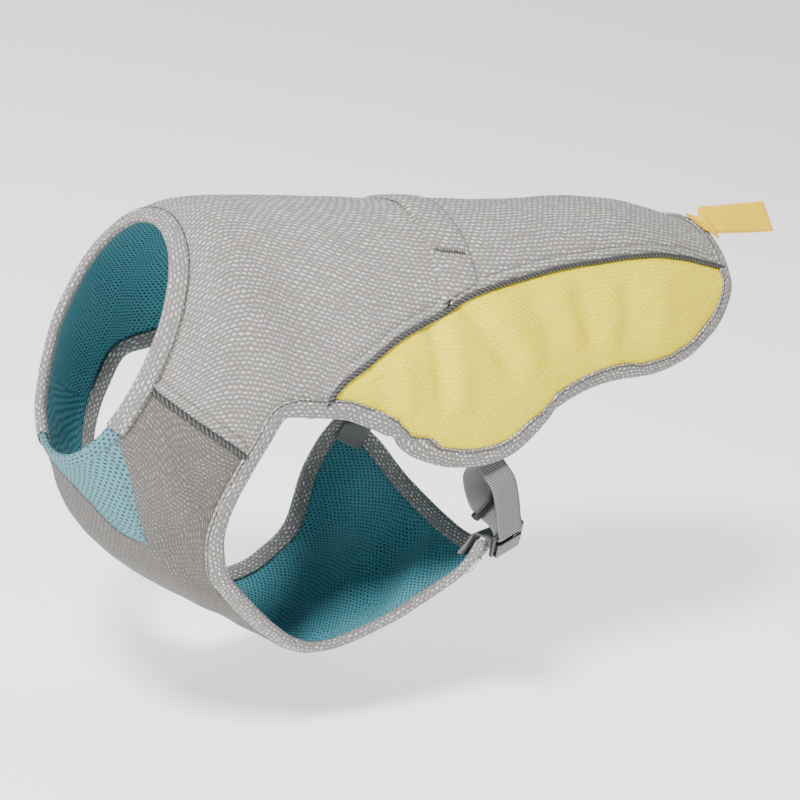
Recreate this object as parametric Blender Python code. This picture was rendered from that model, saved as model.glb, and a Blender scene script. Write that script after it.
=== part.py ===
"""A dog's cooling vest in the shape it takes when it is worn.

Millimetres below, metres in the model. The head end is at -X, the tail at +X, the dog's left at -Y and
its back up at +Z. The origin is on the wearer's back at the withers, on the lining's inner face.

The cloth follows one hollow form: a fan of cross sections from the neck ring (station 0) to the tail
(station 7). A place on it is a station and an angle, 0 on the spine, growing down the left side to 180
under the chest and on up the right side. Every seam and edge is a short table of such places, and each
layer of cloth lies at its own distance out from the form.
"""

import bmesh
import bpy
import math
import numpy as np

MM = 0.001

# Cross sections of the form. The top is on the spine, the bottom under the chest, both in the plane
# y = 0. half_width is at the widest height, which lies the share "waist" of the way down. A section
# is turned by roll_deg about X, its lower half is squarer as squareness grows past 2, and flare
# widens the bottom. far_side is how much wider the right side stands than the left.
FORM_COLUMNS = ("top_x", "top_z", "bottom_x", "bottom_z", "half_width", "waist", "roll_deg",
                "squareness", "flare", "far_side")
FORM = np.array([
    (-36, -10, -94, -158, 61, 0.46, -12, 2.0, 0.00, 0),   # 0 neck ring
    (0, 1, -46, -228, 81, 0.46, -13, 2.1, 0.00, 34),      # 1 withers and breastbone
    (45, 2, 34, -275, 87, 0.46, -8, 2.4, 0.03, 26),       # 2 behind the shoulders
    (100, 4, 115, -310, 87, 0.42, 0, 3.1, 0.11, 4),       # 3 girth
    (185, 7, 211, -265, 86, 0.46, 8, 3.9, 0.19, 0),       # 4 belly strap
    (270, 7, 295, -192, 81, 0.52, 8, 2.6, 0.04, 0),       # 5 loin
    (345, 6, 365, -162, 76, 0.52, 9, 2.2, 0.00, 0),       # 6 hips
    (425, -9, 432, -147, 62, 0.52, 10, 2.0, 0.00, 0),    # 7 root of the tail
], float)

# Seams and edges of the upper part: station, angle in degrees. The right side mirrors the left.
SHOULDER_SEAM = ((0.0, 107.5), (0.7, 105), (1.3, 104), (1.53, 104))
ARMHOLE_TOP = ((1.53, 104), (1.61, 98), (1.74, 91), (1.9, 89.3), (2.15, 87.4))
FLANK_SEAM = ((2.15, 87.4), (2.32, 80), (2.75, 69), (3.1, 60), (3.44, 52.5), (3.75, 44.5), (4.02, 40.5),
              (4.46, 37.5), (5.2, 36), (5.7, 35), (6.5, 35), (7.0, 37))
HEM = ((2.15, 87.4), (2.5, 85.8), (2.8, 87), (3.1, 89.8), (3.5, 91), (4.0, 91.6), (4.3, 92), (4.55, 90.7),
       (4.75, 88.6), (4.9, 87.9), (5.25, 87.8), (5.62, 90.3), (6.0, 91), (6.2, 89.3), (6.4, 85.7),
       (6.62, 77.8), (6.78, 70.3), (6.92, 59), (7.0, 47))
HEM_START = 1.74          # where the hem's binding meets the belly's, at the corner of the armhole
CROSS_SEAM = 3.52
LEASH_BAND_END = 3.83

# The gore at the front of the neck: its left seam and its right seam, which meet at the point.
GORE_COLUMNS = ("left_station", "left_deg", "right_station", "right_deg")
GORE = (
    (0.00, 132, 0.00, 206),
    (0.18, 134, 0.13, 192),
    (0.38, 137, 0.27, 179),
    (0.61, 143, 0.46, 170),
    (0.79, 148, 0.74, 162),
    (0.93, 151.5, 0.92, 154.5),
)
GORE_POINT = (0.98, 153)

# The chest panel beside the gore: rows from the gore's seam, or the centre below its point, over an
# inner line to the shoulder seam. The last row is the front edge of the armhole beyond that line.
SHOULDER_STATIONS = (0, 0.25, 0.5, 0.75, 1.0, 1.25, 1.4, 1.53)
INNER_LINE = ((0.0, 118), (0.22, 118.5), (0.45, 119.5), (0.68, 121), (0.88, 122.5), (1.08, 124),
              (1.24, 125), (1.44, 126))
ARMHOLE_FRONT = (1.45, 114.5)
CHEST_CENTRE = (1.40, 165)

# The belly below: rows from the centre line to the edge on each side, and how late the row bows from
# one to the other (1 is straight).
BELLY_COLUMNS = ("centre_station", "centre_deg", "edge_station", "left_deg", "right_deg", "bow")
BELLY = (
    (1.70, 172, 1.52, 134, 134, 1.0),
    (2.00, 177, 1.68, 142.5, 142.5, 1.0),
    (2.35, 180, 2.00, 150, 150, 1.0),
    (2.70, 180, 2.45, 154, 152, 1.0),
    (3.05, 180, 2.90, 154, 150, 1.0),
    (3.35, 180, 3.25, 149.5, 151, 1.0),
    (3.65, 180, 3.55, 144.5, 150, 1.1),
    (3.88, 180, 3.80, 141.5, 130, 1.3),
    (4.08, 180, 3.98, 137.5, 120, 1.8),
    (4.26, 180, 4.09, 127.5, 117.5, 2.6),
    (4.41, 180, 4.14, 116.5, 120.5, 3.6),
)

# Layers, as distances out from the form.
SHELL = (0.20, 1.40)
LINING = (-1.25, -0.20)
BAND = (1.95, 3.10)
SEAM_GAP = 0.15           # each piece stops this far short of a plain seam
RIM_GAP = 2.0             # and this far short of an edge that a binding wraps
PIPING_RADIUS = 1.8
PIPING_GAP = 2.15         # and this far short of the middle of a piping
PIPING_HEIGHT = 2.15

BINDING_WIDTH = 11.6
BINDING_WALL = 1.0
BINDING_OUT = 3.85        # outer face of the binding's outer leg
BINDING_IN = -3.50        # inner face of its inner leg

WEBBING_WIDTH = 20.0
WEBBING_THICK = 1.4
RIBBON_WIDTH = 24.0
RIBBON_THICK = 0.8
TAB_LIFT = 1.6            # the flat ribbon's middle lies this much over the curved hem

FRONT_ROWS = SHOULDER_STATIONS + (1.63, 1.74, 1.94, 2.15, 2.35, 2.6, 2.85, 3.1, 3.3, CROSS_SEAM)
REAR_ROWS = (CROSS_SEAM, LEASH_BAND_END, 4.05, 4.3, 4.55, 4.8, 5.05, 5.3, 5.55, 5.8, 6.05, 6.25, 6.45,
             6.62, 6.78, 6.9, 7.0)
BACK_COLUMNS = 12
FLANK_COLUMNS = 3
BELLY_ACROSS = 5          # columns from the centre to the inner line, or to the belly's edge
SHOULDER_ACROSS = 2       # columns from there to the shoulder seam
GORE_COLUMNS_ACROSS = 4
PIPING_SIDES = 6

FINISHES = {  # base colour, roughness
    "grey_mesh": ((0.42, 0.40, 0.38), 0.8),
    "yellow_mesh": ((0.90, 0.80, 0.05), 0.75),
    "teal_mesh": ((0.10, 0.42, 0.48), 0.8),
    "binding_mesh": ((0.33, 0.32, 0.30), 0.8),
    "piping_cord": ((0.05, 0.045, 0.045), 0.7),
    "webbing": ((0.22, 0.22, 0.21), 0.7),
    "black_plastic": ((0.012, 0.012, 0.012), 0.4),
    "yellow_ribbon": ((0.93, 0.70, 0.08), 0.5),
}


# ---------------------------------------------------------------- the form


def unit(v):
    return v / np.linalg.norm(v)


def section(station):
    """The row of FORM at a station, smooth between rows."""
    last = len(FORM) - 1
    i = int(min(max(math.floor(station), 0), last - 1))
    t = station - i
    before, after = FORM[max(i - 1, 0)], FORM[min(i + 2, last)]
    a, b = FORM[i], FORM[i + 1]
    leave = (b - before) / 2 if i > 0 else b - a
    arrive = (after - a) / 2 if i + 1 < last else b - a
    if t < 0:
        return a + leave * t
    return ((2 * t**3 - 3 * t**2 + 1) * a + (t**3 - 2 * t**2 + t) * leave
            + (3 * t**2 - 2 * t**3) * b + (t**3 - t**2) * arrive)


def on_form(station, degrees):
    """The point of the form at a station and an angle."""
    (top_x, top_z, bottom_x, bottom_z, half_width, waist, roll, squareness, flare,
     far_side) = section(station)
    angle = math.radians(degrees)
    down, side = math.cos(angle), math.sin(angle)
    if down < 0:
        power = 2 / squareness
        down = -(-down) ** power
        side = math.copysign(abs(side) ** power, side)
    share = waist * (1 - down) if down >= 0 else waist - (1 - waist) * down
    x = top_x + (bottom_x - top_x) * share
    z = top_z + (bottom_z - top_z) * share
    y = -half_width * side * (1 + flare * max(0.0, -down))
    y += far_side * max(0.0, -side)
    centre_z = top_z + (bottom_z - top_z) * waist
    turn = math.radians(roll)
    return np.array((
        x,
        y * math.cos(turn) - (z - centre_z) * math.sin(turn),
        centre_z + y * math.sin(turn) + (z - centre_z) * math.cos(turn),
    ))


def slopes(station, degrees, step=0.01):
    """How the form's point moves with the station and with the angle."""
    along = (on_form(station + step, degrees) - on_form(station - step, degrees)) / (2 * step)
    turn = step * 50
    round_it = (on_form(station, degrees + turn) - on_form(station, degrees - turn)) / (2 * turn)
    return along, round_it


def outward(station, degrees):
    along, round_it = slopes(station, degrees)
    n = np.cross(round_it, along)
    return n / np.linalg.norm(n)


def off_form(station, degrees, height):
    return on_form(station, degrees) + outward(station, degrees) * height


def read(table, station):
    """The angle that a seam table gives at a station."""
    return float(np.interp(station, [row[0] for row in table], [row[1] for row in table]))


def back_edge(station):
    """Where the grey back ends: shoulder seam, then top of the armhole, then flank seam."""
    return read(SHOULDER_SEAM + ARMHOLE_TOP[1:] + FLANK_SEAM[1:], station)


# ---------------------------------------------------------------- sheets of cloth


class Sheet:
    """A net of places on the form, with how far the cloth stops short of each border."""

    def __init__(self):
        self.places, self.index, self.faces, self.short = [], {}, [], {}

    def place(self, station, degrees):
        key = (round(station, 4), round(degrees % 360, 3))
        if key not in self.index:
            self.index[key] = len(self.places)
            self.places.append((station, degrees))
        return self.index[key]

    def add(self, net, borders):
        """A grid of places. borders says how far short each side stops: first, last, left, right."""
        ids = [[self.place(*place) for place in row] for row in net]
        for upper, lower in zip(ids, ids[1:]):
            for a, b, c, d in zip(upper, upper[1:], lower[1:], lower):
                near, far = (np.linalg.norm(on_form(*self.places[m]) - on_form(*self.places[n]))
                             for m, n in ((a, c), (b, d)))
                halves = ((a, b, c), (a, c, d)) if near < far else ((b, c, d), (b, d, a))
                self.faces += [half for half in halves if len(set(half)) == 3]
        sides = {
            "first": list(zip(ids[0], ids[0][1:])),
            "last": list(zip(ids[-1], ids[-1][1:])),
            "left": [(a[0], b[0]) for a, b in zip(ids, ids[1:])],
            "right": [(a[-1], b[-1]) for a, b in zip(ids, ids[1:])],
        }
        for side, edges in sides.items():
            gap = borders.get(side, SEAM_GAP)
            for n, edge in enumerate(edges):
                self.short[frozenset(edge)] = gap[n] if isinstance(gap, (list, tuple)) else gap

    def mended(self):
        """The points, normals and the border's step inwards at each place."""
        points = np.array([on_form(*p) for p in self.places])
        normals = np.array([outward(*p) for p in self.places])
        users = {}
        for face in self.faces:
            for edge in zip(face, face[1:] + face[:1]):
                users.setdefault(frozenset(edge), []).append(face)
        rules = {}
        for edge, faces in users.items():
            if len(faces) == 1:
                a, b = tuple(edge)
                middle = points[list(faces[0])].mean(0)
                normal = normals[a] + normals[b]
                inward = np.cross(normal, points[b] - points[a])
                inward /= np.linalg.norm(inward)
                if inward @ (middle - points[a]) < 0:
                    inward = -inward
                for end in (a, b):
                    rules.setdefault(end, []).append((inward, self.short.get(edge, SEAM_GAP)))
        step = np.zeros_like(points)
        for i, pulls in rules.items():
            rows = np.array([p[0] for p in pulls[:2]])
            want = np.array([p[1] for p in pulls[:2]])
            if len(rows) == 2 and rows[0] @ rows[1] > 0.97:
                rows, want = rows[:1] + rows[1:], want.max() * np.ones(1) * 2
            step[i] = np.linalg.lstsq(rows, want, rcond=0.05)[0]
            reach = np.linalg.norm(step[i])
            limit = 5 * max(p[1] for p in pulls)
            if reach > limit:
                step[i] *= limit / reach
            step[i] = self.on_facet(i, step[i], points)
        return points, normals, step

    def on_facet(self, i, step, points):
        """A step from a border place, bent down onto the facet that it crosses."""
        best, bent = -9.0, step
        for face in self.faces:
            if i in face:
                n = face.index(i)
                sides = np.array((points[face[n - 1]], points[face[(n + 1) % 3]])) - points[i]
                shares = np.linalg.lstsq(sides.T, step, rcond=None)[0]
                if shares.min() > best:
                    best, bent = shares.min(), shares @ sides
        return bent


def cloth(name, sheet, layer, finish):
    """A closed wall of cloth between the two distances of a layer."""
    inner, outer = layer
    points, normals, step = sheet.mended()
    mesh = bmesh.new()
    tag = mesh.verts.layers.int.new("place")
    verts = []
    for i, point in enumerate(points):
        vert = mesh.verts.new((point + step[i] + normals[i] * outer) * MM)
        vert[tag] = i
        verts.append(vert)
    for face in sheet.faces:
        mesh.faces.new([verts[i] for i in face])
    extruded = bmesh.ops.extrude_face_region(mesh, geom=list(mesh.faces))
    for vert in extruded["geom"]:
        if isinstance(vert, bmesh.types.BMVert):
            i = vert[tag]
            vert.co = (points[i] + step[i] + normals[i] * inner) * MM
    return finished(name, mesh, finish)


def finished(name, mesh, finish):
    """The object of a mesh, with its faces out and its own material."""
    bmesh.ops.recalc_face_normals(mesh, faces=mesh.faces)
    bmesh.ops.triangulate(mesh, faces=mesh.faces)
    data = bpy.data.meshes.new(name)
    mesh.to_mesh(data)
    mesh.free()
    data.shade_smooth()
    data.set_sharp_from_angle(angle=math.radians(40))
    thing = bpy.data.objects.new(name, data)
    bpy.context.collection.objects.link(thing)
    colour, roughness = FINISHES[finish]
    material = bpy.data.materials.get(finish) or bpy.data.materials.new(finish)
    material.use_nodes = True
    shader = material.node_tree.nodes["Principled BSDF"]
    shader.inputs["Base Color"].default_value = (*colour, 1)
    shader.inputs["Roughness"].default_value = roughness
    data.materials.append(material)
    return thing


def loft(name, rings, finish, closed=False, caps=()):
    """Skins rings of points. caps are the faces that close each end, as indices into a ring."""
    mesh = bmesh.new()
    rows = [[mesh.verts.new(p * MM) for p in ring] for ring in rings]
    pairs = list(zip(rows, rows[1:])) + ([(rows[-1], rows[0])] if closed else [])
    for one, two in pairs:
        for k in range(len(one)):
            n = (k + 1) % len(one)
            mesh.faces.new((one[k], one[n], two[n], two[k]))
    if not closed:
        for row in (rows[0], rows[-1]):
            for cap in caps or (tuple(range(len(row))),):
                mesh.faces.new([row[k] for k in cap])
    return finished(name, mesh, finish)


# ---------------------------------------------------------------- the cut pieces


def upper_net(rows, inner_edge, outer_edge, columns, side=1):
    """Rows of places from one seam to another at the same stations, on the left (1) or right (-1)."""
    net = []
    for station in rows:
        a, b = inner_edge(station), outer_edge(station)
        net.append([(station, side * (a + (b - a) * k / columns)) for k in range(columns + 1)])
    return net


def back_net(rows):
    return upper_net(rows, lambda s: -back_edge(s), back_edge, BACK_COLUMNS)


def flank_net(side, start):
    rows = [s for s in FRONT_ROWS[:-1] + REAR_ROWS if s >= start]
    return upper_net(rows, back_edge, lambda s: read(HEM, s), FLANK_COLUMNS, side)


def back_side_gaps(rows):
    """How far the back stops short of its side border, a value for each stretch between rows."""
    gaps = []
    for a, b in zip(rows, rows[1:]):
        middle = (a + b) / 2
        in_armhole = SHOULDER_SEAM[-1][0] < middle < 2.3
        gaps.append(RIM_GAP if in_armhole else PIPING_GAP)
    return gaps


def make_back():
    for name, rows, borders in (
        ("back_front_panel", FRONT_ROWS, {"first": RIM_GAP}),
        ("back_rear_panel", REAR_ROWS, {"last": RIM_GAP}),
    ):
        sheet = Sheet()
        gaps = back_side_gaps(rows)
        sheet.add(back_net(rows), {**borders, "left": gaps, "right": gaps})
        cloth(name, sheet, SHELL, "grey_mesh")

    band = Sheet()
    rows = (CROSS_SEAM, LEASH_BAND_END)
    band.add(back_net(rows), {"first": 0, "last": 0, "left": 2 * PIPING_GAP, "right": 2 * PIPING_GAP})
    cloth("leash_band", band, BAND, "grey_mesh")


def make_flanks():
    for side, name in ((1, "flank_panel_left"), (-1, "flank_panel_right")):
        sheet = Sheet()
        sheet.add(flank_net(side, 2.35), {"first": RIM_GAP, "last": RIM_GAP, "left": PIPING_GAP,
                                          "right": RIM_GAP})
        cloth(name, sheet, SHELL, "yellow_mesh")


def make_back_lining():
    sheet = Sheet()
    rows = FRONT_ROWS + REAR_ROWS[1:]
    gaps = [RIM_GAP if g == RIM_GAP else SEAM_GAP for g in back_side_gaps(rows)]
    sheet.add(back_net(rows), {"first": RIM_GAP, "last": RIM_GAP, "left": gaps, "right": gaps})
    for side in (1, -1):
        sheet.add(flank_net(side, 2.15), {"last": RIM_GAP, "right": RIM_GAP})
    cloth("back_lining", sheet, LINING, "teal_mesh")


def gore_side(side):
    """The gore's seam on one side, from the neck ring to its point."""
    first = 0 if side > 0 else 2
    return [(row[first], row[first + 1]) for row in GORE]


def gore_net():
    net = []
    for left_s, left_a, right_s, right_a in (*GORE, 2 * GORE_POINT):
        shares = [k / GORE_COLUMNS_ACROSS for k in range(GORE_COLUMNS_ACROSS + 1)]
        net.append([(left_s + (right_s - left_s) * f, left_a + (right_a - left_a) * f) for f in shares])
    return net


def row_between(one, two, columns, bow=1.0):
    shares = [k / columns for k in range(columns + 1)]
    return [(one[0] + (two[0] - one[0]) * f**bow, one[1] + (two[1] - one[1]) * f) for f in shares]


def chest_net(side):
    """The rows beside the gore, from the neck ring down to the front of the armhole."""
    def turned(station, degrees):
        return (station, degrees) if side > 0 else (station, 360 - degrees)

    seam = gore_side(side) + [GORE_POINT, CHEST_CENTRE]
    net = []
    for start, line, station in zip(seam, INNER_LINE, SHOULDER_STATIONS):
        shoulder = turned(station, read(SHOULDER_SEAM, station))
        outer = row_between(turned(*line), shoulder, SHOULDER_ACROSS)
        net.append(row_between(start, turned(*line), BELLY_ACROSS) + outer[1:])
    net[-1][-2] = turned(*ARMHOLE_FRONT)
    return net


def belly_net(side):
    """The rows from the front of the armhole to the rear edge under the belly."""
    net = [chest_net(side)[-1][:BELLY_ACROSS + 1]]
    for row in BELLY:
        edge = (row[2], row[3]) if side > 0 else (row[2], 360 - row[4])
        net.append(row_between((row[0], row[1]), edge, BELLY_ACROSS, row[5]))
    return net


def chest_sheet(shoulder_gap):
    sheet = Sheet()
    for side in (1, -1):
        sheet.add(belly_net(side), {"last": RIM_GAP, "right": RIM_GAP})
        sheet.add(chest_net(side), {"first": RIM_GAP, "last": RIM_GAP, "right": shoulder_gap})
    return sheet


def make_chest():
    cloth("chest_panel", chest_sheet(PIPING_GAP), SHELL, "grey_mesh")
    cloth("chest_lining", chest_sheet(SEAM_GAP), LINING, "teal_mesh")

    gore = Sheet()
    gore.add(gore_net(), {"first": RIM_GAP + 0.6})
    cloth("neck_gore", gore, SHELL, "teal_mesh")


# ---------------------------------------------------------------- bindings and pipings


def inside(station, degrees, towards, distance):
    """The place at a distance over the form from another, in the direction of a vector."""
    along, round_it = slopes(station, degrees)
    move = np.linalg.lstsq(np.array((along, round_it)).T, towards * distance, rcond=None)[0]
    return station + move[0], degrees + move[1]


def binding_profile():
    """Across a binding: distance in from the edge, height over the form."""
    w, wall = BINDING_WIDTH, BINDING_WALL
    return (
        (w, BINDING_OUT), (0, BINDING_OUT), (0, BINDING_IN), (w, BINDING_IN),
        (w, BINDING_IN + wall), (wall, BINDING_IN + wall), (wall, BINDING_OUT - wall), (w, BINDING_OUT - wall),
    )


BINDING_CAPS = ((0, 1, 6, 7), (1, 2, 5, 6), (2, 3, 4, 5))


def walk(line, distance, height):
    """The point at a distance along a line of places, at a height over the form's facets."""
    points = [on_form(*place) for place in line]
    for n, (a, b) in enumerate(zip(points, points[1:])):
        gap = np.linalg.norm(b - a)
        if distance <= gap or n == len(points) - 2:
            share = distance / gap
            return off_form(*line[n], height) * (1 - share) + off_form(*line[n + 1], height) * share
        distance -= gap


def blend(one, two, share):
    return [tuple(np.array(a) * (1 - share) + np.array(b) * share) for a, b in zip(one, two)]


def make_binding(name, lines, closed):
    """A strip folded round an edge. Each line of places leads from the edge into the cloth."""
    count = len(lines)
    edge = [on_form(*line[0]) for line in lines]
    rings = []
    for i, line in enumerate(lines):
        before = edge[i - 1] if closed or i > 0 else edge[i]
        after = edge[(i + 1) % count] if closed or i < count - 1 else edge[i]
        run, into = unit(after - before), unit(on_form(*line[1]) - edge[i])
        slant = max(np.linalg.norm(np.cross(run, into)), 0.7)
        rings.append([walk(line, distance / slant, height) for distance, height in binding_profile()])
    loft(name, rings, "binding_mesh", closed, BINDING_CAPS)


def square_in(edge):
    """Lines that lead straight in from a run of edge places, with the cloth to the left of the run."""
    points = [on_form(*place) for place in edge]
    lines = []
    for i in range(1, len(edge) - 1):
        towards = unit(np.cross(outward(*edge[i]), points[i + 1] - points[i - 1]))
        half = inside(*edge[i], towards, 6)
        lines.append([edge[i], half, inside(*half, towards, 7)])
    return lines


def make_bindings():
    back = back_net(FRONT_ROWS + REAR_ROWS[1:])
    rows = FRONT_ROWS + REAR_ROWS[1:]
    chest = {side: chest_net(side) for side in (1, -1)}
    gore = gore_net()

    def down(net, column):
        return [row[column] for row in net[:5]]

    across = BELLY_ACROSS + SHOULDER_ACROSS
    neck = [down(back, k) for k in range(BACK_COLUMNS + 1)]
    neck += [down(chest[1], k) for k in range(across - 1, -1, -1)]
    neck += [down(gore, k) for k in range(1, GORE_COLUMNS_ACROSS)]
    neck += [down(chest[-1], k) for k in range(across)]
    make_binding("neck_binding", neck, True)

    def half_hem(side):
        """From the corner of the armhole to the middle of the tail."""
        lines = []
        for station, row in zip(rows, back):
            if HEM_START <= station < 6.3:
                line = row[::-1] if side > 0 else row
                if station > HEM[0][0]:
                    hem = read(HEM, station)
                    seam = back_edge(station)
                    cut = [(station, side * (hem + (seam - hem) * k / FLANK_COLUMNS)) for k in range(FLANK_COLUMNS)]
                    line = cut + line
                lines.append(line[:6])
        lines[0] = blend(lines[0], lines[1], 0.025)
        edge = [(s, side * read(HEM, s)) for s in rows if s > 5.9]
        seam, corner = back_edge(7.0), HEM[-1][1]
        edge += [(7.0, side * (corner + (seam - corner) * k / FLANK_COLUMNS)) for k in range(1, FLANK_COLUMNS)]
        edge += [(7.0, side * seam * (1 - 2 * k / BACK_COLUMNS)) for k in range(BACK_COLUMNS // 2 + 2)]
        if side < 0:
            turned = square_in(edge[::-1])[::-1]
        else:
            turned = square_in(edge)
        return lines + [line for line in turned if line[0][0] > 6.3]

    # two strips, which meet under the tail tab
    for side, word in ((1, "left"), (-1, "right")):
        lines = half_hem(side)
        lines[-1] = blend(lines[-1], lines[-2], 0.05)
        make_binding(f"hem_binding_{word}", lines, False)

    def half_belly(side):
        """From the corner of the armhole to the middle of the belly's rear edge."""
        top = [row[::-1] if side > 0 else row for s, row in zip(rows, back) if SHOULDER_SEAM[-1][0] < s <= HEM_START]
        front = [[row[k] for row in chest[side][::-1]] for k in range(across, BELLY_ACROSS, -1)]
        net, last = belly_net(side), BELLY_ACROSS
        turn = blend([chest[side][-1 - k][last - k] for k in range(4)],
                     [chest[side][-1 - k][last] for k in range(4)], 0.35)
        lower = [row[::-1] for row in net[1:-1]]
        corner = [net[-1 - k][last - k] for k in range(4)]
        rear = [[net[-1 - n][k] for n in range(5)] for k in range(last - 1, -1, -1)]
        return [line[:6] for line in top[::-1] + front + [turn] + lower + [corner] + rear]

    left, right = half_belly(1), half_belly(-1)
    make_binding("belly_binding", left + right[-2::-1], False)


def make_piping(name, places):
    """A round cord that lies in a seam."""
    points = [off_form(*place, PIPING_HEIGHT) for place in places]
    rings = []
    for i, place in enumerate(places):
        run = points[min(i + 1, len(points) - 1)] - points[max(i - 1, 0)]
        up = outward(*place)
        across = np.cross(up, run)
        across /= np.linalg.norm(across)
        turns = [2 * math.pi * k / PIPING_SIDES for k in range(PIPING_SIDES)]
        rings.append([points[i] + PIPING_RADIUS * (across * math.cos(t) + up * math.sin(t)) for t in turns])
    loft(name, rings, "piping_cord")


def make_pipings():
    seam_start, seam_end = 0.37, 1.24
    flank_start, flank_end = 2.36, 6.82
    shoulder = [seam_start, *[s for s in SHOULDER_STATIONS if seam_start < s < seam_end], seam_end]
    inner = [s for s in FRONT_ROWS[:-1] + REAR_ROWS if flank_start < s < flank_end]
    for side, word in ((1, "left"), (-1, "right")):
        make_piping(f"shoulder_piping_{word}", [(s, side * read(SHOULDER_SEAM, s)) for s in shoulder])
        flank = [flank_start, *inner, flank_end]
        make_piping(f"flank_piping_{word}", [(s, side * read(FLANK_SEAM, s)) for s in flank])


# ---------------------------------------------------------------- straps and hardware


def ribbon(name, path, across, width, thickness, finish):
    """A flat band along a path; across is the direction of its width at each point."""
    path = [np.array(p, float) for p in path]
    mesh = bmesh.new()
    rows, corners = [], []
    for i, (point, wide) in enumerate(zip(path, across)):
        run = unit(path[min(i + 1, len(path) - 1)] - path[max(i - 1, 0)])
        wide = unit(wide - run * (run @ wide))
        thick = np.cross(run, wide)
        ring = [point + wide * u * width / 2 + thick * v * thickness / 2
                for u, v in ((-1, -1), (1, -1), (1, 1), (-1, 1))]
        corners.append(ring)
        rows.append([mesh.verts.new(p * MM) for p in ring])
    for i in range(len(rows) - 1):
        one, two = rows[i], rows[i + 1]
        # both wide faces fold along the same diagonal, the shorter one
        lean = np.linalg.norm(corners[i][0] - corners[i + 1][1]) < np.linalg.norm(corners[i][1] - corners[i + 1][0])
        for k, n in ((0, 1), (1, 2), (2, 3), (3, 0)):
            if lean == (k < 2):
                mesh.faces.new((one[k], one[n], two[n]))
                mesh.faces.new((one[k], two[n], two[k]))
            else:
                mesh.faces.new((one[k], one[n], two[k]))
                mesh.faces.new((one[n], two[n], two[k]))
    mesh.faces.new(rows[0])
    mesh.faces.new(rows[-1])
    return finished(name, mesh, finish)


def frame_plate(name, centre, across, run, breaks_across, breaks_run, windows, thickness):
    """A flat plastic frame: a grid of cells with windows, of one thickness."""
    across = unit(across - run * (run @ across))
    normal = np.cross(across, run)
    mesh = bmesh.new()
    verts = {}

    def vert(i, j, side):
        if (i, j, side) not in verts:
            point = centre + across * breaks_across[i] + run * breaks_run[j] + normal * side * thickness / 2
            verts[i, j, side] = mesh.verts.new(point * MM)
        return verts[i, j, side]

    cells = {(i, j) for i in range(len(breaks_across) - 1) for j in range(len(breaks_run) - 1)} - set(windows)
    for i, j in cells:
        corners = ((i, j), (i + 1, j), (i + 1, j + 1), (i, j + 1))
        for side in (1, -1):
            mesh.faces.new([vert(*c, side) for c in corners[::side]])
        for one, two, beyond in zip(corners, corners[1:] + corners[:1], ((0, -1), (1, 0), (0, 1), (-1, 0))):
            if (i + beyond[0], j + beyond[1]) not in cells:
                mesh.faces.new((vert(*one, 1), vert(*one, -1), vert(*two, -1), vert(*two, 1)))
    return finished(name, mesh, "black_plastic")


# The strap of one side, in its own frame: u towards the tail, v down from the hem to the corner of
# the belly panel, w away from the wearer. It is sewn inside the hem, hangs in a bow, turns round the
# upper bar of the buckle and comes back up through the slider to the same seam.
STRAP_COLUMNS = ("u", "v", "w")
STRAP = (
    (7.2, 4.0, -5.6),
    (9.5, 9.5, -0.5),
    (12.0, 17.0, 7.0),
    (13.2, 31.0, 11.6),
    (13.6, 43.0, 14.0),
)
STRAP_BACK = (
    (13.4, 46.4, 5.0),
    (8.3, 40.5, -1.0),
    (3.5, 33.5, -4.8),
    (0.5, 22.0, -8.2),
    (-0.5, 10.0, -9.6),
    (1.5, 3.0, -8.0),
)
STRAP_SEWN = ((4.07, 3.0, -5.2), (4.07, 11.0, -5.3), (4.02, 3.0, -7.0), (4.02, 11.0, -7.1))   # station, mm in, depth
STRAP_ACROSS = (0.975, -0.20, 0.0)
SLIDER_AT = (5.9, 37.0, -2.9)
BUCKLE_AT = (14.0, 51.0, 12.9)
BUCKLE_RUN = (0.19, 0.92, -0.34)
CORNER_TAB = (            # from the buckle's lower bar in under the corner's edge
    (17.5, 65.0, 0.8),
    (13.5, 63.0, -4.0),
    (9.5, 62.5, -9.9),
)
CORNER_TAB_SEWN = ((1.5, -7.8), (9.0, -7.3), (16.0, -7.3))   # mm in from the edge, depth
BUCKLE_ACROSS_BREAKS = (-13.5, -10.6, 10.6, 13.5)
BUCKLE_RUN_BREAKS = (-1.8, 1.8, 7.6, 11.0, 21.0, 24.2)
BUCKLE_THICK = 3.2
WRAP = 2.85               # the webbing's middle, this far from the middle of a bar that it turns round


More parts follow.
